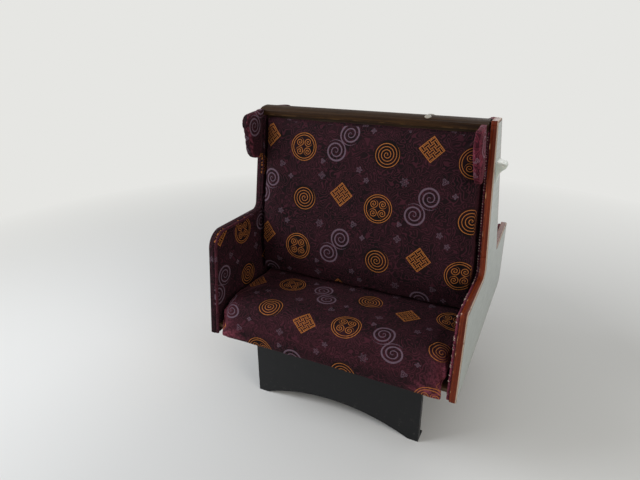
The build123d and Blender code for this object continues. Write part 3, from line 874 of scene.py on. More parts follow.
def top_rail(material):
    """Capping rail: a shallow crown with rounded edges, carried from wall to aisle end.

    The section runs anticlockwise seen from the aisle. The crown's height is
    that of a circle through both edges. At the aisle it ends on the lean, and
    its end at the wall is eased.
    """
    half = RAIL_HIGH.y
    low = RAIL_LOW.z
    upper = 6 * MM                       # radii of the upper and the lower arris
    lower = 1.5 * MM
    arc = np.radians(np.linspace(0, 90, 7))
    y = np.linspace(-half + upper, half - upper, 41)
    top = RAIL_HIGH.z - CROWN_R + np.sqrt(CROWN_R ** 2 - y ** 2)
    crown = np.stack([y, top], axis=1)[::-1]
    over = np.stack([-half + upper - upper * np.sin(arc),
                     top[0] - upper + upper * np.cos(arc)], axis=1)[1:]
    under = np.stack([-half + lower - lower * np.cos(arc),
                      low + lower - lower * np.sin(arc)], axis=1)
    section = np.concatenate([crown, over, under, under[::-1] * (-1, 1), over[::-1] * (-1, 1)])
    ease = 4 * MM
    turn = np.radians(np.linspace(0, 90, 5))
    x0 = RAIL_LOW.x
    x1 = lean_x(section[:, 1], LINED["aisle"])
    start = x0 + ease * (1 - np.sin(turn))[::-1][:, None] + 0 * x1[None]
    share = np.linspace(0, 1, 61)[1:, None]
    x = np.concatenate([start, x0 + ease + (x1[None] - x0 - ease) * share])
    drawn_in = np.zeros(len(x))
    drawn_in[:len(turn)] = ease * (1 - np.cos(turn))[::-1]
    core = np.array([half - ease, (RAIL_HIGH.z - low) / 2 - ease])
    off = section - np.array([0, (RAIL_HIGH.z + low) / 2])
    outside = off - np.clip(off, -core, core)
    rings = section[None] - outside[None] * (drawn_in / ease)[:, None, None]
    uv = np.stack([x, np.broadcast_to(lengths_along(section), x.shape)], axis=-1)
    grid = np.concatenate([x[..., None], rings], axis=-1)
    piece = add_piece("wood_top_rail", grid.reshape(-1, 3), tube_faces(*x.shape),
                      uv.reshape(-1, 2))
    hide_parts("top_rail")
    dress(outward(piece), material)


def grab_handle(material):
    """Moulded handle: a smooth nose whose underside runs down the board.

    Its side profile is a closed curve through a few points, carried along the
    handle's length. Towards both ends its reach falls off as the fourth root of
    one less the fourth power of the way out, so that the ends are full but round.
    """
    low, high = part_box("grab_handle")
    # share of the reach and of the height, from the foot up the board and down the nose
    keys = np.array([(0.0, 0.0), (0.0, 1.0), (0.45, 0.975), (0.86, 0.9), (1.0, 0.8), (0.93, 0.7),
                     (0.62, 0.6), (0.36, 0.46), (0.16, 0.24), (0.04, 0.05)])
    keys[:, 0] *= high.x - lean_x(high.z, 0.0)
    # a cubic from each point to the next: a point's slope is half of the step from the
    # point before it to the point after it
    order = np.arange(1, len(keys))
    a, b, c, d = (keys[i % len(keys)][:, None]
                  for i in (np.maximum(order - 1, 1), order, order + 1, order + 2))
    t = np.linspace(0, 1, 6, endpoint=False)[None, :, None]
    fine = 0.5 * (2 * b + (c - a) * t + (2 * a - 5 * b + 4 * c - d) * t ** 2
                  + (3 * b - a - 3 * c + d) * t ** 3)
    fine = fine.reshape(-1, 2)
    out = np.maximum(fine[:, 0], 0)
    z = low.z + np.clip(fine[:, 1], 0, 1) * (high.z - low.z)
    way = np.sin(np.linspace(-0.5, 0.5, 33) * np.pi)
    share = np.maximum(1 - way ** 4, 0) ** 0.25
    share[[0, -1]] = 0.3
    off = 0.3 * MM                       # clear of the board
    x = lean_x(z, 0.0)[None] + off + (out[None] - off) * share[:, None]
    middle_z = (low.z + high.z) / 2
    tall = middle_z + (z - middle_z)[None] * (0.75 + 0.25 * share)[:, None]
    grid = np.stack([x, np.broadcast_to((way * high.y)[:, None], x.shape), tall], axis=-1)
    piece = add_piece("handle_moulded", grid.reshape(-1, 3), tube_faces(*x.shape), sharp=50)
    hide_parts("grab_handle")
    dress(outward(piece), material)


def turned(name, profile, place, axis_to, count=32):
    """Body turned from a profile of (radius, height), carried to place along a direction.

    Where a profile row's third value is 1, its ring is a hexagon: the radius is
    divided by the cosine of the angle from the middle of its flat.
    """
    profile = np.asarray(profile, float)
    angle = np.linspace(0, math.tau, count, endpoint=False)
    flat = math.radians(60)
    off = (angle + flat / 2) % flat - flat / 2
    radius = profile[:, 0:1] * (1 + profile[:, 2:3] * (1 / np.cos(off)[None] - 1))
    local = np.stack([radius * np.cos(angle), radius * np.sin(angle),
                      np.broadcast_to(profile[:, 1:2], radius.shape)], axis=-1)
    axis = np.asarray(axis_to, float) / np.linalg.norm(axis_to)
    helper = np.array([0.0, 1.0, 0.0]) if abs(axis[1]) < 0.9 else np.array([1.0, 0.0, 0.0])
    side = np.cross(helper, axis)
    side /= np.linalg.norm(side)
    turn = np.stack([side, np.cross(axis, side), axis])
    grid = local.reshape(-1, 3) @ turn + np.asarray(place)
    piece = add_piece(name, grid, tube_faces(*radius.shape), sharp=40)
    return outward(piece)


def scaled(profile, size=1.0):
    """A profile given in millimetres, in metres and times a size."""
    return [(r * size * MM, h * size * MM, s) for r, h, s in profile]


# profiles in millimetres: radius, height, and 1 for a hexagon's ring or 0 for a round one
STUD = [
    (12, -2.5, 0), (12, 1.2, 0), (11.6, 2.1, 0), (10.6, 2.5, 0), (9.6, 2.1, 0),
    (9, 1.5, 0), (6, 1.35, 0), (0.2, 1.4, 0),
]
BOLT_HEAD = [
    (10.5, 0.0, 0), (10.5, 1.6, 0), (9.9, 2.0, 0), (8.6, 2.0, 0), (8.5, 2.0, 1),
    (8.5, 7.4, 1), (8.1, 8.2, 0.6), (6.6, 8.6, 0), (0.2, 8.6, 0),
]
PAN_HEAD = [
    (5.4, 0.0, 0), (5.4, 0.8, 0), (5.0, 2.1, 0), (3.9, 3.1, 0), (2.2, 3.6, 0), (0.2, 3.7, 0),
]


def number_studs(material):
    """Blank round studs on the rail, square to its crown: a raised rim round a shallow dish."""
    for side in ("a", "b"):
        low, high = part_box("number_stud_" + side)
        centre = (np.array(low) + np.array(high)) / 2
        axis = (0, centre[1], math.sqrt(CROWN_R ** 2 - centre[1] ** 2))
        piece = turned("stud_" + side, scaled(STUD), centre, axis, count=48)
        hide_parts("number_stud_" + side)
        dress(piece, material)


def fasteners(material):
    """Hex bolts with washers at the feet and the wall, pan screws in the tubes' flanges."""
    for side, sign in (("a", -1), ("b", 1)):
        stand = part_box("stand_plate_" + side)
        front = stand[0].y if side == "a" else stand[1].y
        y = front - sign * FOOT_BOLT_IN
        for end, x in (("window", stand[0].x + FOOT_X / 2), ("aisle", stand[1].x - FOOT_X / 2)):
            bolt = turned(f"foot_bolt_{end}_{side}", scaled(BOLT_HEAD), (x, y, FOOT_T), (0, 0, 1))
            dress(bolt, material)
        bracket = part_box("wall_bracket_" + side)
        y = (bracket[0].y + bracket[1].y) / 2
        for number, drop in enumerate(WALL_BOLT_DROPS):
            place = (WALL_X + PLATE_T, y, bracket[1].z - drop)
            bolt = turned(f"wall_bolt_{number}_{side}", scaled(BOLT_HEAD, 0.8), place, (1, 0, 0))
            dress(bolt, material)
        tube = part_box("front_tube_" + side)
        z = (tube[0].z + tube[1].z) / 2
        for end, x, out in (("window", tube[0].x + PLATE_T, 1), ("aisle", tube[1].x - PLATE_T, -1)):
            for edge, y in enumerate((tube[0].y + SCREW_IN, tube[1].y - SCREW_IN)):
                screw = turned(f"flange_screw_{end}_{edge}_{side}", scaled(PAN_HEAD),
                               (x, y, z), (out, 0, 0), count=20)
                dress(screw, material)


# Soft pieces

def weld_copy(node_name):
    """Copy of a CAD solid's mesh with its doubles merged."""
    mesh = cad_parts[node_name].data.copy()
    mesh.materials.clear()
    shape = bmesh.new()
    shape.from_mesh(mesh)
    bmesh.ops.remove_doubles(shape, verts=shape.verts, dist=0.02 * MM)
    shape.to_mesh(mesh)
    shape.free()
    return mesh


def read_vectors(mesh, what="co"):
    """Vertex places, or what else a vertex has three of, as an (n, 3) array."""
    flat = np.empty(len(mesh.vertices) * 3)
    mesh.vertices.foreach_get(what, flat)
    return flat.reshape(-1, 3)


def write_points(mesh, points):
    """Move a mesh's vertices."""
    mesh.vertices.foreach_set("co", np.asarray(points, np.float64).ravel())
    mesh.update()


def baked(piece):
    """Replace a piece's mesh by what its modifiers make of it."""
    bpy.context.view_layer.update()
    shown = piece.evaluated_get(bpy.context.evaluated_depsgraph_get())
    mesh = bpy.data.meshes.new_from_object(shown)
    piece.modifiers.clear()
    piece.data = mesh
    return piece


# a sewn woollen cover, blown up for a few frames
CLOTH = {
    "quality": 5,
    "mass": 0.3,
    "tension_stiffness": 15,
    "compression_stiffness": 15,
    "shear_stiffness": 5,
    "bending_stiffness": 0.5,
    "use_pressure": True,
    "uniform_pressure_force": 4.0,
    "vertex_group_mass": "held",
}
CLOTH_FRAMES = 20


def stuffed(name, node_name, voxel, shrink, cap, held):
    """Padding in a sewn cover, blown up inside its CAD solid.

    The solid is remeshed, smoothed and shrunk, then pressed outwards as cloth, with
    what `held` marks kept in place. No point moves further than cap.
    """
    mesh = weld_copy(node_name)
    piece = bpy.data.objects.new(name, mesh)
    bpy.context.scene.collection.objects.link(piece)
    remesh = piece.modifiers.new("remesh", "REMESH")
    remesh.mode = "VOXEL"
    remesh.voxel_size = voxel
    soften = piece.modifiers.new("soften", "SMOOTH")
    soften.factor = 0.5
    soften.iterations = 6
    baked(piece)
    start = read_vectors(piece.data)
    start = start - read_vectors(piece.data, "normal") * shrink
    write_points(piece.data, start)
    group = piece.vertex_groups.new(name="held")
    group.add(np.flatnonzero(held(start)).tolist(), 1.0, "REPLACE")
    cloth = piece.modifiers.new("cloth", "CLOTH")
    for key, value in CLOTH.items():
        setattr(cloth.settings, key, value)
    cloth.settings.effector_weights.gravity = 0.0
    cloth.point_cache.frame_start = 1
    cloth.point_cache.frame_end = CLOTH_FRAMES
    for number in range(1, CLOTH_FRAMES + 1):
        bpy.context.scene.frame_set(number)
    baked(piece)
    bpy.context.scene.frame_set(1)
    moved = read_vectors(piece.data) - start
    far = np.linalg.norm(moved, axis=1)
    limit = cap * np.tanh(far / cap) / np.maximum(far, 1e-9)
    write_points(piece.data, start + moved * limit[:, None])
    finer = piece.modifiers.new("finer", "SUBSURF")
    finer.levels = 1
    finer.render_levels = 1
    baked(piece)
    piece.data.name = name
    return piece


def waves(points, seed, lengths, size):
    """Sum of slow sine waves in random directions, about `size` high."""
    random = np.random.default_rng(seed)
    total = np.zeros(len(points))
    for length in lengths:
        direction = random.normal(size=3)
        direction /= np.linalg.norm(direction)
        total += np.sin(points @ direction * math.tau / length + random.uniform(0, math.tau))
    return total * size / math.sqrt(len(lengths))


def nearest_on(profile, points):
    """Distance along a Y, Z profile of the nearest place on it, and how far off it is."""
    best = np.full(len(points), np.inf)
    place = np.zeros(len(points))
    for start, after, before in zip(profile[:-1], profile[1:], lengths_along(profile)):
        step = after - start
        length = np.linalg.norm(step)
        share = np.clip(((points - start) @ step) / length ** 2, 0, 1)
        off = np.linalg.norm(points - start - share[:, None] * step, axis=1)
        closer = off < best
        best = np.where(closer, off, best)
        place = np.where(closer, before + share * length, place)
    return place, best


def set_brushed_pile_and_highlight(mesh, share):
    """How far the pile is painted pale at each vertex, from 0 to 1: a painted highlight, partly
    brushed pile.
    """
    layer = mesh.attributes.new("brushed", "FLOAT", "POINT")
    layer.data.foreach_set("value", np.clip(share, 0, 1).astype(np.float32))


def near_place(value, place, width):
    """Bell curve of a value about a place."""
    return np.exp(-((value - place) / width) ** 2)


def dents(across, along, wide, tall, deep):
    """Depth of the hollows at the two places to sit: a bell curve both ways about each."""
    both = sum(near_place(across, place, wide) for place in (-SIT_IN, SIT_IN))
    return deep * both * near_place(along, 0, tall)


def cushion_uv(points, profile):
    """Cloth laid over a cushion: across it by X, along it by the profile's length.

    On the cushion's ends the distance in from the profile is added to X, beyond what
    the cover is drawn in by its own filling.
    """
    place, off = nearest_on(profile, points[:, 1:])
    side = np.clip(points[:, 0] / (200 * MM), -1, 1)
    filling = 14 * MM
    return np.stack([points[:, 0] + side * np.maximum(off - filling, 0), place], axis=1)


def rounded_ends(points, profile, low_x, high_x, radius, room):
    """Round a cushion's edges where its profile meets its ends.

    Near an edge a point lies a short way in from the end and a short way in from
    the profile. Where both are under the radius, the square of such places is
    carried onto a quarter disc along its rays, but off the profile by no more
    than the room there.
    """
    place, off = nearest_on(profile, points[:, 1:])
    distance, right = path_facts(profile)
    y, z = profile[:, 0], profile[:, 1]
    turns_left = np.sum(y * np.roll(z, -1) - z * np.roll(y, -1)) > 0
    inward = -right if turns_left else right
    pull = np.stack([np.interp(place, distance, inward[:, i]) for i in (0, 1)], axis=1)
    for end_place, into in ((low_x, 1), (high_x, -1)):
        a = radius - into * (points[:, 0] - end_place)
        b = radius - off
        near = (a > 0) & (b > 0)
        size = np.maximum(a, b) / np.maximum(np.hypot(a, b), 1e-9)
        drawn_in = np.where(near, 1 - size, 0)
        points[:, 0] += into * a * drawn_in
        points[:, 1:] += pull * np.minimum(b * drawn_in, room)[:, None]


def relaxed(piece, marked, rounds):
    """Smooth a piece's marked vertices, so that the cover runs on without a kink."""
    group = piece.vertex_groups.new(name="relaxed")
    group.add(np.flatnonzero(marked).tolist(), 1.0, "REPLACE")
    soften = piece.modifiers.new("relax", "SMOOTH")
    soften.vertex_group = group.name
    soften.factor = 0.5
    soften.iterations = rounds
    baked(piece)
    return read_vectors(piece.data)


def keep_between_ends(points):
    """Press a cushion's ends flat against the linings where it would pass them."""
    high = lean_x(points[:, 2], LINED["aisle"])
    points[:, 0] = np.clip(points[:, 0], WALL_X + LINED["window"], high)


def creases(points, rows, width):
    """Height of soft folds that run along straight lines.

    A row holds a line's two ends and the height of its fold. The height falls off
    as a bell curve across the line, and rises and falls as a sine along it.
    """
    total = np.zeros(len(points))
    for start, end, height in rows:
        start = np.asarray(start)
        step = np.asarray(end) - start
        share = np.clip((points - start) @ step / (step @ step), 0, 1)
        off = np.linalg.norm(points - start - share[:, None] * step, axis=1)
        total += height * near_place(off, 0, width) * np.sin(np.pi * np.clip(share, 0.02, 0.98))
    return total


def seat_cushions(material):
    """Seat cushions: crowned, rolled over at the front, with two places sat soft."""
    low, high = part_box("seat_cushion_a")
    under = SEAT_BOARD_TOP + SOFT_GAP
    front = low.y
    nose_r = 62 * MM
    lip = 16 * MM
    top = high.z
    # up the back, over the top and the nose, down the front and back under its lip
    profile = rounded_path([
        (high.y, under, 0), (high.y, top - 12 * MM, 0), (front, top, nose_r),
        (front, low.z, 12 * MM), (front + lip, low.z, 0), (front + lip, under, 0),
        (high.y, under, 0)], turn=10)

    def held(p):
        """What lies on the board and against the backs."""
        on_board = (p[:, 2] < under + 9 * MM) & (p[:, 1] > front + 30 * MM)
        return on_board | (p[:, 1] > high.y - 12 * MM)

    piece = stuffed("cushion_seat_a", "seat_cushion_a", 8.5 * MM, 5 * MM, 12 * MM, held)
    p = read_vectors(piece.data)
    normal = read_vectors(piece.data, "normal")
    middle = (low.x + high.x) / 2
    upward = np.clip(normal[:, 2], 0, 1)
    hollow = dents(p[:, 0] - middle, p[:, 1] - SAT_AT_Y, 165 * MM, 130 * MM, 8 * MM)
    p[:, 2] -= hollow * upward
    p += normal * waves(p, 3, (90 * MM, 130 * MM, 170 * MM, 240 * MM), 1.0 * MM)[:, None]
    # drag folds: out of both lower front corners, and back from each place to the backs
    rows = []
    for x, inward in ((high.x, -1), (low.x, 1)):
        for near, z, far, far_z, size in CORNER_FOLDS:
            rows.append(((x + inward * near, front, z), (x + inward * far, front, far_z), size))
    for place in (-SIT_IN, SIT_IN):
        for turn in (-1, 1):
            for near, y, far, far_y, below, size in SIT_FOLDS:
                rows.append(((middle + place + turn * near, y, top - below),
                             (middle + place + turn * far, far_y, top), size))
    folds = creases(p, rows, 9 * MM)
    p += normal * folds[:, None]
    keep_between_ends(p)
    nose = np.clip((front + 150 * MM - p[:, 1]) / (110 * MM), 0, 1)
    room = 0.35 * lip + np.maximum(p[:, 2] - under, 0)
    rounded_ends(p, profile, low.x, high.x, 30 * MM + 32 * MM * nose, room)
    write_points(piece.data, p)
    from_end = np.minimum(p[:, 0] - low.x, high.x - p[:, 0])
    p = relaxed(piece, (from_end < 60 * MM) & (nose > 0.2), 10)
    behind_nose = p[:, 1] > front + lip
    p[:, 2] = np.where(behind_nose, np.maximum(p[:, 2], under), p[:, 2])
    p[:, 1] = np.clip(p[:, 1], front - 2 * MM, high.y)
    p[:, 2] = np.minimum(p[:, 2], top + 2 * MM)
    write_points(piece.data, p)
    set_uv(piece.data, cushion_uv(p, profile))
    # painted highlight, partly brushed pile: paler round the cushion's ends, over the nose roll and
    # on the fold crests
    from_end = np.minimum(p[:, 0] - low.x, high.x - p[:, 0])
    rim = near_place(from_end, 16 * MM, 18 * MM) * (0.15 + 0.8 * nose)
    rim = rim + near_place(from_end, 45 * MM, 28 * MM) * 0.3 * nose
    rolled = near_place(np.hypot(p[:, 1] - front - nose_r, p[:, 2] - top + nose_r), nose_r, 12 * MM)
    rolled = 0.25 * rolled * near_place(p[:, 1], front + 25 * MM, 25 * MM)
    set_brushed_pile_and_highlight(piece.data, rim + rolled + np.maximum(folds, 0) / (4 * MM))
    finish_pad(piece, "seat_cushion", material)


def back_cushions(material):
    """Back cushions: full at the small of the back, thin under the rail."""
    low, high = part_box("back_cushion_a")
    # from the board round by the foot, the small of the back and the shoulders to the top
    profile = rounded_path([
        (high.y, low.z, 0), (-150 * MM, low.z, 0), (-161 * MM, 590 * MM, 0),
        (-146 * MM, 700 * MM, 0), (-66 * MM, high.z, 0), (high.y, high.z, 0)])

    def held(p):
        """What lies against the board."""
        return p[:, 1] > high.y - 11 * MM

    piece = stuffed("cushion_back_a", "back_cushion_a", 9 * MM, 6 * MM, 14 * MM, held)
    p = read_vectors(piece.data)
    normal = read_vectors(piece.data, "normal")
    p += normal * waves(p, 8, (110 * MM, 150 * MM, 210 * MM, 300 * MM), 1.1 * MM)[:, None]
    middle = (low.x + high.x) / 2
    forward = np.clip(-normal[:, 1], 0, 1)
    hollow = dents(p[:, 0] - middle, p[:, 2] - LEANT_AT_Z, 150 * MM, 170 * MM, 6 * MM)
    p[:, 1] += hollow * forward
    keep_between_ends(p)
    # rounded as if both ends were upright
    lean = high.x - lean_x(p[:, 2], LINED["aisle"])
    p[:, 0] += lean
    rounded_ends(p, profile, low.x + lean, high.x, 28 * MM, np.inf)
    p[:, 0] -= lean
    p[:, 1] = np.clip(p[:, 1], low.y - 3 * MM, high.y)
    p[:, 2] = np.clip(p[:, 2], low.z, high.z)
    write_points(piece.data, p)
    set_uv(piece.data, cushion_uv(p, profile))
    # painted highlight, partly brushed pile: paler along the cushion's ends
    from_end = np.minimum(p[:, 0] - low.x, high.x - lean - p[:, 0])
    set_brushed_pile_and_highlight(piece.data, near_place(from_end, 8 * MM, 10 * MM) * 0.4)
    finish_pad(piece, "back_cushion", material)


def head_wings(materials):
    """Head wings: flat pads in a sewn cover, with a raised seam along each arris.

    How near a point lies to an arris is a bell curve of its normal's X about 0.7,
    which a normal has where it has turned halfway from a side to the border.
    """
    for end in ("aisle", "window"):
        low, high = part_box(f"wing_{end}_a")
        root = high.y - 30 * MM

        def held(p):
            """The wing's root, against the back."""
            return p[:, 1] > root

        piece = stuffed(f"pad_wing_{end}_a", f"wing_{end}_a", 4 * MM, 3 * MM, 9 * MM, held)
        p = read_vectors(piece.data)
        normal = read_vectors(piece.data, "normal")
        p += normal * waves(p, 5, (60 * MM, 75 * MM, 95 * MM, 130 * MM), 0.4 * MM)[:, None]
        side = np.abs(normal[:, 0])
        arris = near_place(side, 0.7, 0.16)
        free = np.clip((root - p[:, 1]) / (20 * MM), 0, 1)
        p += normal * (1.6 * MM * arris * free)[:, None]
        tip_y = low.y + 30 * MM
        rows = [((low.x, tip_y, low.z + share * WING_HIGH),
                 (high.x, tip_y + reach, low.z + (share + rise) * WING_HIGH), size)
                for share, rise, reach, size in WING_FOLDS]
        folds = creases(p, rows, 6 * MM)
        p += normal * folds[:, None]
        if end == "aisle":
            limit = lean_x(p[:, 2], LINED[end])
            share = (p[:, 2] - ARM_NECK[1]) / (END_TOP - ARM_NECK[1])
            upright = ARM_NECK[0] + (TOP_CORNER[0] - ARM_NECK[0]) * share
            beside = -p[:, 1] < upright + 4 * MM
            p[:, 0] = np.where(beside, np.minimum(p[:, 0], limit), p[:, 0])
        else:
            p[:, 0] = np.maximum(p[:, 0], low.x)
        p[:, 2] = np.clip(p[:, 2], low.z - 3 * MM, high.z + 1 * MM)
        write_points(piece.data, p)
        # sheared so that the cloth runs on round the front edge with no stretch
        across = p[:, 1] + p[:, 0] - (low.x + high.x) / 2
        set_uv(piece.data, np.stack([across, p[:, 2]], axis=1))
        # painted highlight, partly brushed pile: paler on the arrises and on the fold crests
        set_brushed_pile_and_highlight(piece.data, arris * free + np.maximum(folds, 0) / (1.2 * MM))
        finish_pad(piece, "wing_" + end, materials[end])


def finish_pad(piece, node_stem, material):
    """Dress a seat a pad and its seat b copy, and hide the CAD solids they stand in for."""
    piece.data.shade_smooth()
    for pad, side in zip(dress_pair(piece, material), "ab"):
        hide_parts(f"{node_stem}_{side}")


def lining_border(end):
    """Border of seat a's half of a lining, its distances and inward normals.

    The outline without its edging where there is one, from its foot to its top,
    which is under the rail at the window.
    """
    corners = end_corners(end) + [(-TOP_CORNER[0] + 12 * MM, END_TOP, 0)]
    points = rounded_path(corners, straight=10 * MM, turn=8)
    distance, normal = path_facts(points)
    inset = EDGING_T + SOFT_GAP if end == "aisle" else 0.0
    top = END_TOP - inset - 1 * MM if end == "aisle" else RAIL_LOW.z - SOFT_GAP
    points = points + normal * inset
    keep = (points[:, 1] < top) & (points[:, 1] > END_BOTTOM - 1 * MM)
    return points[keep], distance[keep], normal[keep]


def wall_wrap(material):
    """Moquette drawn over the front edge of the wall end and tacked behind it.

    A flat band that stands just off the outline, carried from the end's foot up
    behind the head wing.
    """
    points = rounded_path(end_corners("window"), straight=10 * MM, turn=6)
    distance, normal = path_facts(points)
    last = distance[-8]                  # about 70 mm under the end's top
    thick = 1.6 * MM
    place = (1 * MM, -thick - 0.1 * MM)
    section = rounded_section(BOARD_T["window"] + 1 * MM, thick, (0.7 * MM,) * 4) + place
    piece = swept("wall_wrap_a", "window", (points, distance, normal), section, 0.0, last)
    dress_pair(piece, material)


def lining(end, material):
    """Upholstered lining of one end, seat a's half.

    A grid from the border to the middle line. Near the border the surface is a
    quarter round up to LINING_T from the board, and the back closes it flat.
    """
    border, distance, normal = lining_border(end)
    roll = 7 * MM
    angle = np.radians(np.linspace(0, 90, 7))
    near = roll * (1 - np.cos(angle))
    rise = LINING_T - roll + roll * np.sin(angle)
    # the middle line's heights: its lowest part serves the armrest's front and top
    tip = int(np.argmax(border[:, 1] > ARM_TIP[1] - 20 * MM))
    neck = arm_neck(border)
    places = [distance[0], distance[tip], distance[neck], distance[-1]]
    heights = [END_BOTTOM, 480 * MM, border[neck, 1], border[-1, 1]]
    upright = np.arange(len(border)) >= neck
    middle_z = np.where(upright, border[:, 1], np.interp(distance, places, heights))
    middle = np.stack([np.zeros(len(border)), middle_z], axis=1)
    rounded = border[:, None] + normal[:, None] * near[None, :, None]
    inner = rounded[:, -1]
    share = np.linspace(0, 1, 16)[1:]
    flat = inner[:, None] + (middle - inner)[:, None] * share[None, :, None]
    back = np.stack([middle, border], axis=1)
    yz = np.concatenate([rounded, flat, back], axis=1)
    sunk = 0.3 * MM * np.sin(np.pi * share)
    depth = BOARD_T[end] + np.concatenate([rise, LINING_T - sunk, [0.0, 0.0]])
    x = end_x(end, yz[..., 1], depth[None])
    grid = np.concatenate([x[..., None], yz], axis=-1)
    piece = add_piece(f"lining_{end}_pad_a", grid.reshape(-1, 3), tube_faces(*x.shape),
                      yz.reshape(-1, 2))
    finish_pad(outward(piece), "lining_" + end, material)


def arm_neck(border):
    """Number of the border's point where the arm's top turns up into the upright."""
    return int(np.argmax(border[:, 0] > -ARM_NECK[0] - ARM_NECK[2]))


def edge_cord(end):
    """The covered cord along a lining's border.

    Its line with the distances and inward normals, its radius, its depth, and
    `low_part`: 1 round the arm, where the cord is fuller, and 0 up the side.
    """
    border, distance, normal = lining_border(end)
    low_part = np.clip((distance[arm_neck(border)] - distance) / (60 * MM), 0, 1)[:, None]
    radius = 3.4 * MM + 2.2 * MM * low_part
    path = border + normal * (radius + 0.2 * MM)
    depth = BOARD_T[end] + LINING_T - 0.6 * MM
    return path, distance, normal, radius, depth, low_part


def edge_roll(end, material, worn):
    """Cloth over the cord along a lining's border, painted paler round the arm by `worn`: a painted
    highlight, partly brushed pile.
    """
    path, distance, normal, radius, depth, low_part = edge_cord(end)
    around = np.linspace(0, math.tau, 12, endpoint=False)[None]
    y = path[:, 0:1] + normal[:, 0:1] * radius * np.cos(around)
    z = path[:, 1:2] + normal[:, 1:2] * radius * np.cos(around)
    x = end_x(end, z, depth + radius * np.sin(around))
    uv = np.stack(np.broadcast_arrays(distance[:, None], around * radius), axis=-1)
    grid = np.stack([x, y, z], axis=-1)
    piece = add_piece(f"edge_roll_{end}_a", grid.reshape(-1, 3), tube_faces(*x.shape),
                      uv.reshape(-1, 2))
    outward(piece)
    # painted highlight round the arm, partly brushed pile
    set_brushed_pile_and_highlight(piece.data, np.repeat(low_part, around.size) * worn)
    dress_pair(piece, material)


def edge_stitches(material):
    """Short stitches over the aisle end's cord, most of them lost round the arm.

    One about every 10 mm. Each is a bowed tube: `bow` is the angle round the cord
    and `turn` the angle round the thread, and it slants along the border.
    """
    path, distance, normal, radius, depth, low_part = edge_cord("aisle")
    random = np.random.default_rng(21)
    along = np.arange(distance[0] + 10 * MM, distance[-1] - 10 * MM, 10 * MM)
    along = along + random.normal(0, 1 * MM, len(along))
    lost = np.interp(along, distance, 0.1 + 0.55 * low_part[:, 0])
    along = along[random.random(len(along)) > lost]
    slant = random.normal(0.15, 0.25, len(along))[:, None, None]
    bow = np.radians(np.linspace(15, 165, 7))[:, None]
    turn = np.radians(np.linspace(0, 360, 6, endpoint=False))
    y, z, ny, nz, cord = (np.interp(along, distance, values)[:, None, None]
                          for values in (*path.T, *normal.T, radius[:, 0]))
    thread = 1.2 * MM
    reach = cord + thread * 0.5 + thread * np.cos(turn)
    inwards = reach * np.cos(bow)
    aside = thread * 1.1 * np.sin(turn) + slant * inwards
    y = y + ny * inwards - nz * aside
    z = z + nz * inwards + ny * aside
    x = end_x("aisle", z, depth + reach * np.sin(bow))
    one = tube_faces(bow.size, turn.size)
    faces = [[corner + first for corner in face]
             for first in range(0, x.size, bow.size * turn.size) for face in one]
    stitches = add_piece("edge_stitches_a", np.stack([x, y, z], axis=-1).reshape(-1, 3), faces)
    dress_pair(outward(stitches), material)


# Stage

def add_light(name, place, size, power, tint):
    """Square soft light at a place, turned to the seat's middle."""
    data = bpy.data.lights.new(name, "AREA")
    data.size = size
    data.energy = power
    data.color = colour(tint)[:3]
    light = bpy.data.objects.new(name, data)
    light.location = place
    direction = Vector(LIGHT_TARGET) - Vector(place)
    light.rotation_euler = direction.to_track_quat("-Z", "Y").to_euler()
    bpy.context.scene.collection.objects.link(light)


def make_stage():
    """Pale floor and backdrop, and the soft lights."""
    far = STAGE_HALF
    corners = [(-far, -far, 0), (far, -far, 0), (far, far, 0), (-far, far, 0)]
    floor = add_piece("stage_floor", corners, [(0, 1, 2, 3)])
    floor.data.materials.append(stage_paint("pale_floor", "#dededb", BACKDROP))
    world = bpy.data.worlds.new("soft_room")
    world.use_nodes = True
    tree = world.node_tree
    light = node(tree, "Background", (colour("#eef0f2"), 0.34))
    backdrop = node(tree, "Background", (colour(BACKDROP), 1.0))
    mixed = node(tree, "MixShader", (seen_by_eye(tree), light, backdrop))
    tree.links.new(mixed, tree.nodes["World Output"].inputs["Surface"])
    bpy.context.scene.world = world
    for name, settings in LIGHTS.items():
        add_light(name, *settings)


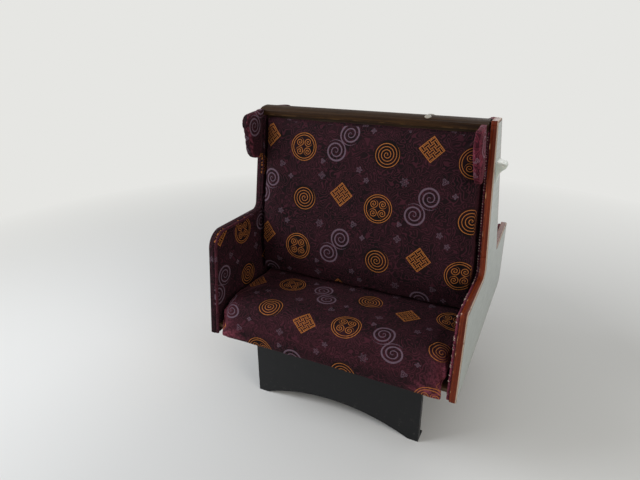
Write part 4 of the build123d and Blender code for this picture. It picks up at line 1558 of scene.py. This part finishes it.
def make_camera():
    """The photograph's camera, from its place and its yaw, pitch and roll."""
    data = bpy.data.cameras.new("photo_camera")
    data.sensor_width = SENSOR_MM
    data.lens = CAMERA_FOCAL_PX * SENSOR_MM / PHOTO_WIDTH_PX
    data.clip_start = 0.05
    camera = bpy.data.objects.new("photo_camera", data)
    camera.location = CAMERA_PLACE
    level = Euler((math.radians(90 - CAMERA_PITCH), 0, math.radians(CAMERA_YAW)), "XYZ").to_matrix()
    roll = Euler((0, 0, math.radians(CAMERA_ROLL)), "XYZ").to_matrix()
    camera.rotation_euler = (level @ roll).to_euler()
    bpy.context.scene.collection.objects.link(camera)
    bpy.context.scene.camera = camera


def main():
    make_camera()
    make_stage()
    cloth = moquette("moquette_cut_pile")
    # painted light: a lighter, redder copy of the same moquette, for the aisle wing and the aisle
    # edge roll as if lit
    painted_light_cloth = moquette("moquette_wings", ground="#17070b", field="#300e17", curl="#6a2635",
                          mauve="#785a66", sheen=0.32)
    # painted shade: a darker copy of the same moquette, for the aisle lining as if in shade
    painted_shade_cloth = moquette("moquette_linings", ground="#0c0608", field="#160a0e", curl="#331820",
                          mauve="#4b3c44", gold="#70472a")
    mahogany = wood("mahogany_varnished", "#220803", "#541c0b", "#773014", EDGING_ARRISES,
                    coat=0.16, roughness=0.34)
    dark_wood = wood("rail_hardwood_stained", "#0b0603", "#21130a", "#3b2611", RAIL_ARRISES,
                     coat=0.03, roughness=0.5)
    white = laminate("laminate_white")
    steel = black_paint("steel_black_stoved")
    plastic = white_plastic("plastic_white_moulded", "#a39e92", "#b5b0a4")

    seat_cushions(cloth)
    back_cushions(cloth)
    # the aisle wing wears the painted-light copy, the window wing the plain cloth
    head_wings({"aisle": painted_light_cloth, "window": cloth})
    gimp = gimp_yarn("cotton_stitches")
    # the aisle lining wears the painted-shade copy
    lining("aisle", painted_shade_cloth)
    edge_roll("aisle", painted_light_cloth, 0.9)
    edge_stitches(gimp)
    lining("window", cloth)
    edge_roll("window", cloth, 0.3)
    wall_wrap(cloth)
    edging_pieces(mahogany)
    top_rail(dark_wood)
    number_studs(plastic)
    grab_handle(white_plastic("plastic_handle", "#b6bdb3", "#c6ccc2"))
    fasteners(plated_steel("steel_zinc_plated"))

    back_ply = plywood("plywood_backs", 1, "#4a3521", "#332317", "#22170f")
    seat_ply = plywood("plywood_seats", 2, "#5a4129", "#3e2b1a", "#2a1c10")
    finishes = {
        "end_panel_aisle": white,
        "end_panel_window": plywood("plywood_wall_end", 0, "#b7925f", "#8f6b43", "#6d4f30"),
        "back_board_a": back_ply,
        "back_board_b": back_ply,
        "seat_board_a": seat_ply,
        "seat_board_b": seat_ply,
    }
    for name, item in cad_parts.items():
        for slot in item.material_slots:
            slot.material = finishes.get(name, steel)


main()
bpy.context.scene.view_settings.view_transform = "Standard"
